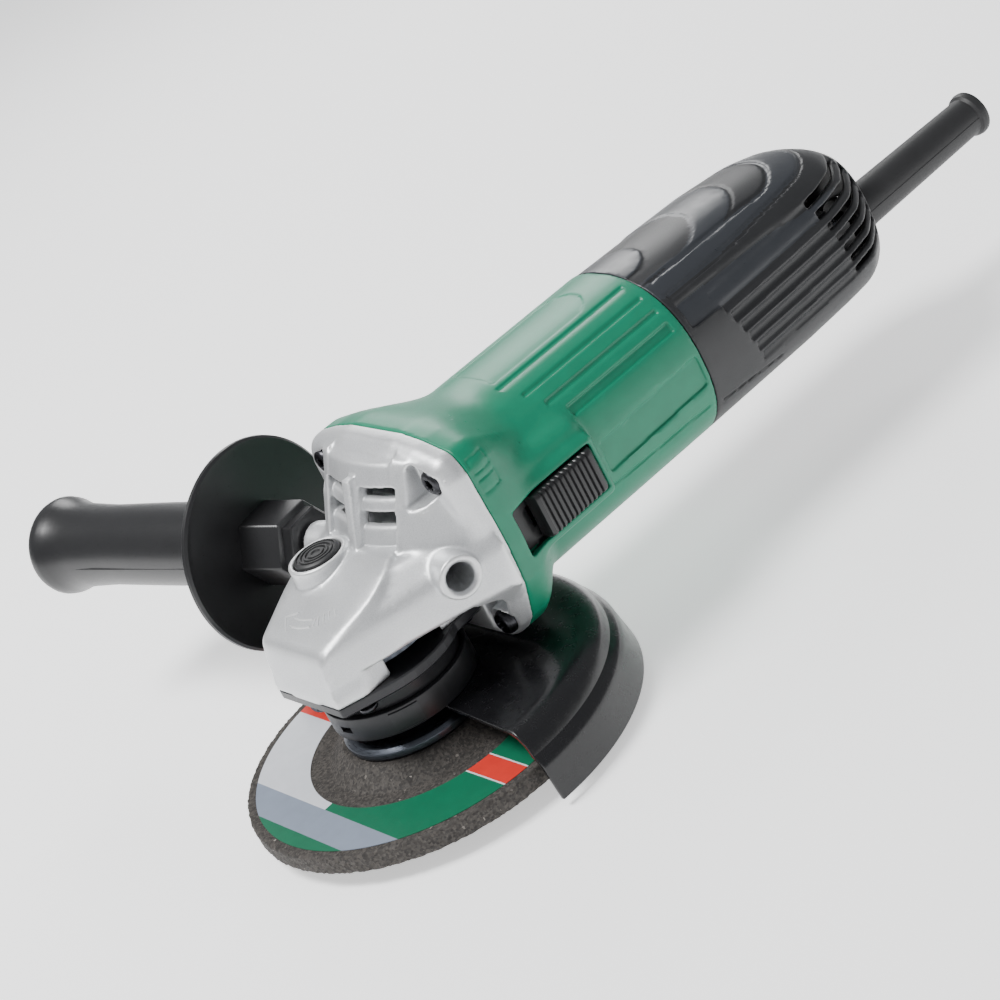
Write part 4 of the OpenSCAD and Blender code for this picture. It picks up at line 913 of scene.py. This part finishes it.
def add_tail_cover():
    shell = moulded("tail_cover_moulded", tail_cover_field,
                    (SEAM_X - 1, -31.8, -31), (TAIL_X + 1.5, 31.8, 31))
    finish_piece(shell, "grinder", "charcoal_cover", ["charcoal", "gloss", "black"], "tail_cover")
    # panels one, three and five and the wide channel take the smoother finish
    x, y, z = face_centres(shell)
    first, second, third, fourth, fifth = (p < -0.2 for p in petals(x, y))
    smooth = (first | (third & ~second) | (fifth & ~fourth)) & (z > 4)
    smooth |= (np.abs(np.abs(y) - channel_middle(x)) < 1.8) & (z > 9) & (x > 123)
    # the inner wall takes the black nylon: painted shade, so the inside seen through the air slots reads
    # dark
    inside = tail_shape(x, y, z) < -1.6
    shell.data.polygons.foreach_set("material_index", (smooth + 2 * inside).clip(0, 2).astype(np.int32))


def add_cord_guard():
    """Strain relief: a tapered sleeve with a mould seam each side and a flared mouth."""
    end = span("cord_guard", "x")[1]
    profile = rounded([
        (4.1, TAIL_X - 5), (8.2, TAIL_X - 5), (8.2, TAIL_X - 2.6), (6.9, TAIL_X - 2.4),
        (7.3, TAIL_X + 0.2), (6.5, end - 3.8), (7.4, end - 3.0), (7.7, end - 1.6), (7.5, end - 0.1),
        (5.6, end - 0.1), (4.1, end - 1.4),
    ], 0.5, 4)
    middle = MOTOR_Z + CORD_Z
    sleeve = turned("sleeve", profile, 72, 40,
                    matrix=placed(0, 0, middle, Matrix.Rotation(math.pi / 2, 4, "Y")))
    seams = []
    for side in (-1, 1):
        layers = []
        for k in range(13):
            x = TAIL_X + 1 + (end - 5 - TAIL_X) * k / 12
            r = 7.3 - 0.8 * (x - TAIL_X) / (end - 3.8 - TAIL_X) + 0.02
            layers.append([(x, side * (r + rise), middle + offset) for rise, offset in
                           ((-0.3, -0.35), (0.18, -0.12), (0.18, 0.12), (-0.3, 0.35))])
        seams.append(stacked("seam", layers, 60))
    guard = joined("cord_guard_sleeve", [sleeve] + seams)
    finish_piece(guard, "grinder", "rubber", "rubber", "cord_guard")


# ------------------------------------------------------------------ switch knob and lock button

def add_switch_knob():
    """A block with cross ribs on its face, its ends and edges softened."""
    x0, x1 = span("switch_knob", "x")
    face, back = (-v for v in span("switch_knob", "y"))
    base = 31.9
    ribs = 11
    outline = [(x0, base), (x0, face - 1.6), (x0 + 0.5, face - 0.5), (x0 + 1.6, face)]
    pitch = (x1 - x0 - 4.4) / ribs
    for k in range(ribs):
        a = x0 + 1.9 + k * pitch
        sink = 0.05 * k
        outline += [(a + 0.15 * pitch, face - 0.1 - sink), (a + 0.3 * pitch, face - 0.75 - sink),
                    (a + 0.5 * pitch, face - 0.75 - sink), (a + 0.7 * pitch, face - 0.12 - sink),
                    (a + 0.95 * pitch, face - 0.05 - sink)]
    outline += [(x1 - 1.4, face - 0.9), (x1 - 0.4, face - 2.0), (x1, face - 3.4), (x1, base)]
    layers = []
    low, high = span("switch_knob", "z")
    z_mid, half = (low + high) / 2, (high - low) / 2
    for t, drop in ((-1, 1.3), (-0.97, 0.75), (-0.9, 0.25), (-0.8, 0), (0, 0), (0.8, 0), (0.9, 0.25),
                    (0.97, 0.75), (1, 1.3)):
        layers.append([(x, -(y if y <= base else y - drop * min(1, (y - base) / 3)), z_mid + half * t)
                       for x, y in outline])
    body = stacked("knob", layers, 30)
    x_mid = (x0 + x1) / 2
    stem = box_object("stem", (x_mid - 4.9, x_mid + 4.9), (-base - 0.1, -back), (z_mid - 2.9, z_mid + 2.9))
    knob = joined("switch_knob_ribbed", [body, outward(stem)])
    finish_piece(knob, "switch_knob", "black_plastic", "black", "switch_knob")


def add_lock_button():
    """Rubber cap with rings round a raised centre."""
    low, high = span("lock_button", "z")
    profile = [(0, low), (7.1, low), (7.2, high - 1.2), (7.0, high - 0.5), (6.5, high - 0.1)]
    for r in (5.6, 4.2, 2.8):
        profile += [(r + 0.55, high), (r + 0.35, high - 0.45), (r - 0.15, high - 0.45), (r - 0.35, high)]
    profile += [(1.5, high), (1.2, high - 0.4), (0, high - 0.45)]
    points, faces = revolved([(max(r, 0.001), z) for r, z in profile], 72)
    button = mesh_object("lock_button_cap", points, faces, MM, 30)
    button.data.transform(placed(*LOCK))
    outward(button)
    finish_piece(button, "spindle_lock", "rubber", "rubber", "lock_button")


# ------------------------------------------------------------------ guard

def guard_profile():
    """Section of the guard's sheet: flat top, stepped shoulder and flared skirt."""
    low, high = span("guard_shell", "z")
    edge = span("guard_shell", "x")[1]
    sheet = 1.6
    bend, bend_x = 8.2, 52.5
    centre = [(21.5, high - sheet / 2), (bend_x, high - sheet / 2)]
    for k in range(1, 8):
        a = math.radians(90 - 8 * k)
        centre.append((bend_x + bend * math.cos(a), high - sheet / 2 - bend + bend * math.sin(a)))
    centre += [(60.2, high - 7.6), (61.1, high - 8.5)]
    for k in range(6):
        a = math.radians(34 - 6 * k)
        centre.append((57.8 + 5.2 * math.cos(a), high - 12.2 + 5.2 * math.sin(a)))
    centre.append((edge - sheet / 2, low))
    outer, inner = [], []
    for i, p in enumerate(centre):
        a, b = centre[max(i - 1, 0)], centre[min(i + 1, len(centre) - 1)]
        dx, dz = b[0] - a[0], b[1] - a[1]
        size = math.hypot(dx, dz)
        nx, nz = -dz / size * sheet / 2, dx / size * sheet / 2
        outer.append((min(p[0] + nx, edge), min(p[1] + nz, high)))
        inner.append((p[0] - nx, p[1] - nz))
    return outer + inner[::-1]


def add_guard():
    shell = turned("guard_pressed", guard_profile(), 150, 30, -93, 186)
    rolled = shell.modifiers.new("edges", "BEVEL")
    rolled.width = 0.35 * MM
    rolled.segments = 2
    rolled.limit_method = "ANGLE"
    rolled.angle_limit = math.radians(50)
    finish_piece(shell, "guard", "black_steel", "paint", "guard_shell")


def add_collar():
    low, high = span("guard_collar", "z")
    band = turned("band", rounded([(21.15, low), (23, low), (23, high), (21.15, high)], 0.35, 3), 120)
    tongue = turned("tongue", rounded([(22.6, low + 0.8), (23.45, low + 0.8), (23.45, high - 0.8),
                                       (22.6, high - 0.8)], 0.3, 3), 16, 35, 228, 22)
    slot = box_object("slot", (-26, -20), (-2.2, 2.2), (low + 3.0, low + 5.0))
    slot.data.transform(Matrix.Rotation(math.radians(7), 4, "Z"))
    carve(band, slot)
    lugs = []
    for side in (-1, 1):
        outline = rounded([(21.6, low + 0.1), (30, low + 0.1), (30, low + 6.9), (21.6, low + 6.9)], 1.4, 4)
        inner, outer = side * 2.4 - 0.9, side * 2.4 + 0.9
        layers = [[(x, y, z) for x, z in outline] for y in (inner, outer)]
        lugs.append(stacked("lug", layers, 40, Matrix.Rotation(math.radians(120), 4, "Z")))
    collar = joined("guard_collar_band", [band, tongue] + lugs)
    finish_piece(collar, "guard", "black_steel", "dark_plate", "guard_collar")


# ------------------------------------------------------------------ wheel

def add_wheel():
    """Depressed-centre wheel, its surface roughened grain by grain."""
    low, high = span("grinding_wheel", "z")
    rim = span("grinding_wheel", "x")[1]
    dish = 4.3
    face = high - dish
    corners = [(12.4, low + dish), (22, low + dish), (29, low), (rim - 0.5, low), (rim, low + 0.5),
               (rim, face - 0.5), (rim - 0.5, face), (30.5, face), (24, high), (12.4, high)]
    profile = []
    for (r0, z0), (r1, z1) in zip(corners, corners[1:] + corners[:1]):
        count = max(1, round(math.hypot(r1 - r0, z1 - z0) / 0.8))
        profile += [(r0 + (r1 - r0) * k / count, z0 + (z1 - z0) * k / count) for k in range(count)]
    points, faces = revolved(profile, 420)
    points = np.array(points)
    rng = np.random.default_rng(7)
    radius = np.hypot(points[:, 0], points[:, 1])
    at_rim = radius > rim - 0.6
    grain = np.where(at_rim, 0.42, 0.10) * rng.random(len(points))
    label = (radius > 36) & (radius < rim - 2) & (points[:, 2] > face - 0.2)
    grain[label] = 0.05
    pull = points.copy()
    pull[:, 0] *= (radius - 0.6) / radius
    pull[:, 1] *= (radius - 0.6) / radius
    pull[:, 2] = low + 3 + (points[:, 2] - low - 3) * 0.93
    step = pull - points
    size = np.linalg.norm(step, axis=1)[:, None] + 1e-9
    points += step / size * grain[:, None]
    wheel = outward(mesh_object("grinding_wheel_bonded", points, faces, MM, 60))
    finish_piece(wheel, "spindle", "abrasive", "grit", "grinding_wheel")
    return face


def add_label(face):
    """Printed ring with straight bands of colour and no lettering."""
    r_in, r_out = 36.6, 54.3
    points, faces = revolved([(r_in, face - 0.02), (r_out, face - 0.02), (r_out, face + 0.14),
                              (r_in, face + 0.14)], 240)
    label = outward(mesh_object("wheel_label_printed", points, faces, MM, 30))
    work = bmesh.new()
    work.from_mesh(label.data)
    # where each band ends along X, and the thin white line beside the red one
    green_end, red_end, white_end, grey_end, line = -2.7, -10.8, -39.5, -49.6, 0.5
    for x in (green_end, green_end - line, red_end, red_end - line, white_end, grey_end):
        everything = work.verts[:] + work.edges[:] + work.faces[:]
        bmesh.ops.bisect_plane(work, geom=everything, plane_co=(x * MM, 0, 0), plane_no=(1, 0, 0))
    for f in work.faces:
        c = f.calc_center_median() / MM
        if green_end - line < c.x < green_end or red_end - line < c.x < red_end:
            f.material_index = 2
        elif red_end < c.x < green_end - line:
            f.material_index = 1
        elif white_end < c.x < red_end - line and c.y > 0:
            f.material_index = 2
        elif grey_end < c.x < white_end:
            f.material_index = 3
    work.to_mesh(label.data)
    work.free()
    finish_piece(label, "spindle", "wheel_label",
                 ["label_green", "label_red", "label_white", "label_grey"], "wheel_label")


def add_washer_and_nut():
    low = span("wheel_washer", "z")[0] + 2.4
    washer = turned("wheel_washer_turned", rounded([
        (7.1, low + 0.02), (21.9, low + 0.02), (22.5, low + 0.8), (22.5, low + 2.6), (21.3, low + 3.6),
        (19.8, low + 4.3), (13.2, low + 4.4), (12.6, low + 5.0), (12.4, low + 5.95), (7.1, low + 5.95),
    ], 0.4, 3), 120, 28)
    finish_piece(washer, "spindle", "dark_steel", "blackened", "wheel_washer")
    z = span("wheel_nut", "z")[0]
    nut = turned("wheel_nut_turned", rounded([
        (7.1, z), (16.8, z), (19.4, z + 2.0), (19.5, z + 4.95), (7.1, z + 4.95)], 0.4, 3), 120, 28)
    for k in range(4):
        pin = turned("pin", [(0.001, z - 1), (2.4, z - 1), (2.4, z + 3.4), (0.001, z + 3.4)], 24)
        pin.data.transform(Matrix.Rotation(math.pi / 2 * k, 4, "Z") @ placed(14.2, 0, 0))
        carve(nut, pin)
    finish_piece(nut, "spindle", "dark_steel", "blackened", "wheel_nut")


# ------------------------------------------------------------------ side handle

def add_handle():
    """Grip, hand shield and hexagonal boss, made along +Z and then turned to the socket."""
    end, disc, r = 125.0, 23.0, 13.0
    profile = [(4.1, 1.3), (8.2, 1.3), (8.2, disc - 3), (11, disc - 0.9), (29.5, disc - 0.6),
               (31.6, disc - 0.9), (32.4, disc - 0.2), (32.5, disc + 0.9), (31.9, disc + 1.7),
               (30.4, disc + 1.5), (15.5, disc + 2.3), (13.4, disc + 4.2), (12.7, disc + 8)]
    profile += [(r - 0.3 + 0.25 * math.sin(math.pi * k / 8) + 0.02 * k, disc + 12 + 6.6 * k)
                for k in range(1, 10)]
    profile += [(r + 0.4, end - 18), (r + 0.9, end - 13), (r + 1.9, end - 9.4), (r + 2.7, end - 7),
                (r + 2.9, end - 5), (r + 2.3, end - 3.2), (r + 0.4, end - 1.8), (r - 4, end - 0.6),
                (r - 9, end), (0.01, end), (0.01, end - 4), (4.1, end - 90)]
    grip = turned("grip", profile, 128, 32)
    hexagon = [(r * math.cos(math.pi * k / 3), r * math.sin(math.pi * k / 3)) for k in range(6)]
    flats = rounded(hexagon, 1.2, 3)
    steps = ((0.80, 1.2), (0.84, 1.6), (0.84, 5.0), (0.97, 5.4), (1, 6.0), (1, disc - 1.2),
             (1.03, disc - 0.3), (0.9, disc + 0.5))
    boss = stacked("boss", [[(x * s, y * s, z) for x, y in flats] for s, z in steps], 35)
    seams = []
    for side in (-1, 1):
        layers = []
        for k in range(16):
            z = disc + 6 + (end - 26 - disc) * k / 15
            radius = 12.95 + 0.0144 * k
            layers.append([(side * (radius + rise), offset, z) for rise, offset in
                           ((-0.35, -0.3), (0.12, -0.1), (0.12, 0.1), (-0.35, 0.3))])
        seams.append(stacked("seam", layers, 60))
    handle = joined("side_handle_moulded", [grip, boss] + seams)
    handle.data.transform(placed(*SOCKET, facing(SOCKET_AXIS)))
    finish_piece(handle, "handle_grip", "black_plastic", "black", "handle_grip")


# ------------------------------------------------------------------ CAD nodes that keep their shape

KEPT = {
    "steel": ["spindle", "rotor_shaft", "handle_bolt", "lock_pin", "lock_spring", "brush_springs",
              "bearing_retainer", "wheel_bore_ring"],
    "bright": ["spindle_bearing_outer", "spindle_bearing_inner", "spindle_bearing_balls",
               "front_bearing_outer", "front_bearing_inner", "front_bearing_balls",
               "rear_bearing_outer", "rear_bearing_inner", "rear_bearing_balls"],
    "blackened": ["ring_gear", "pinion", "pinion_nut", "gear_clip", "guard_screw", "clamp_screws",
                  "stator_screws", "retainer_screws", "tail_screw"],
    "stack": ["stator_core", "armature_core"],
    "copper": ["stator_coils", "armature_windings", "commutator"],
    "brass": ["brush_holders"],
    "bronze": ["spindle_bush"],
    "carbon": ["carbon_brushes"],
    "rubber": ["dust_seal", "rear_bearing_sleeve"],
    "black": ["fan", "fan_baffle", "switch_body", "switch_bar", "cord_clamp"],
    "film": ["capacitor"],
    "sheath": ["motor_leads"],
}


def finish_kept_nodes():
    for material, names in KEPT.items():
        for name in names:
            slots = frame["nodes"][name].data.materials
            if not len(slots):
                slots.append(None)
            for i in range(len(slots)):
                slots[i] = MATERIALS[material]


add_camera()
MATERIALS = make_materials()
add_studio()
add_gear_case()
add_bearing_cover()
add_screws()
add_motor_housing()
add_tail_cover()
add_cord_guard()
add_switch_knob()
add_lock_button()
add_guard()
add_collar()
add_label(add_wheel())
add_washer_and_nut()
add_handle()
finish_kept_nodes()
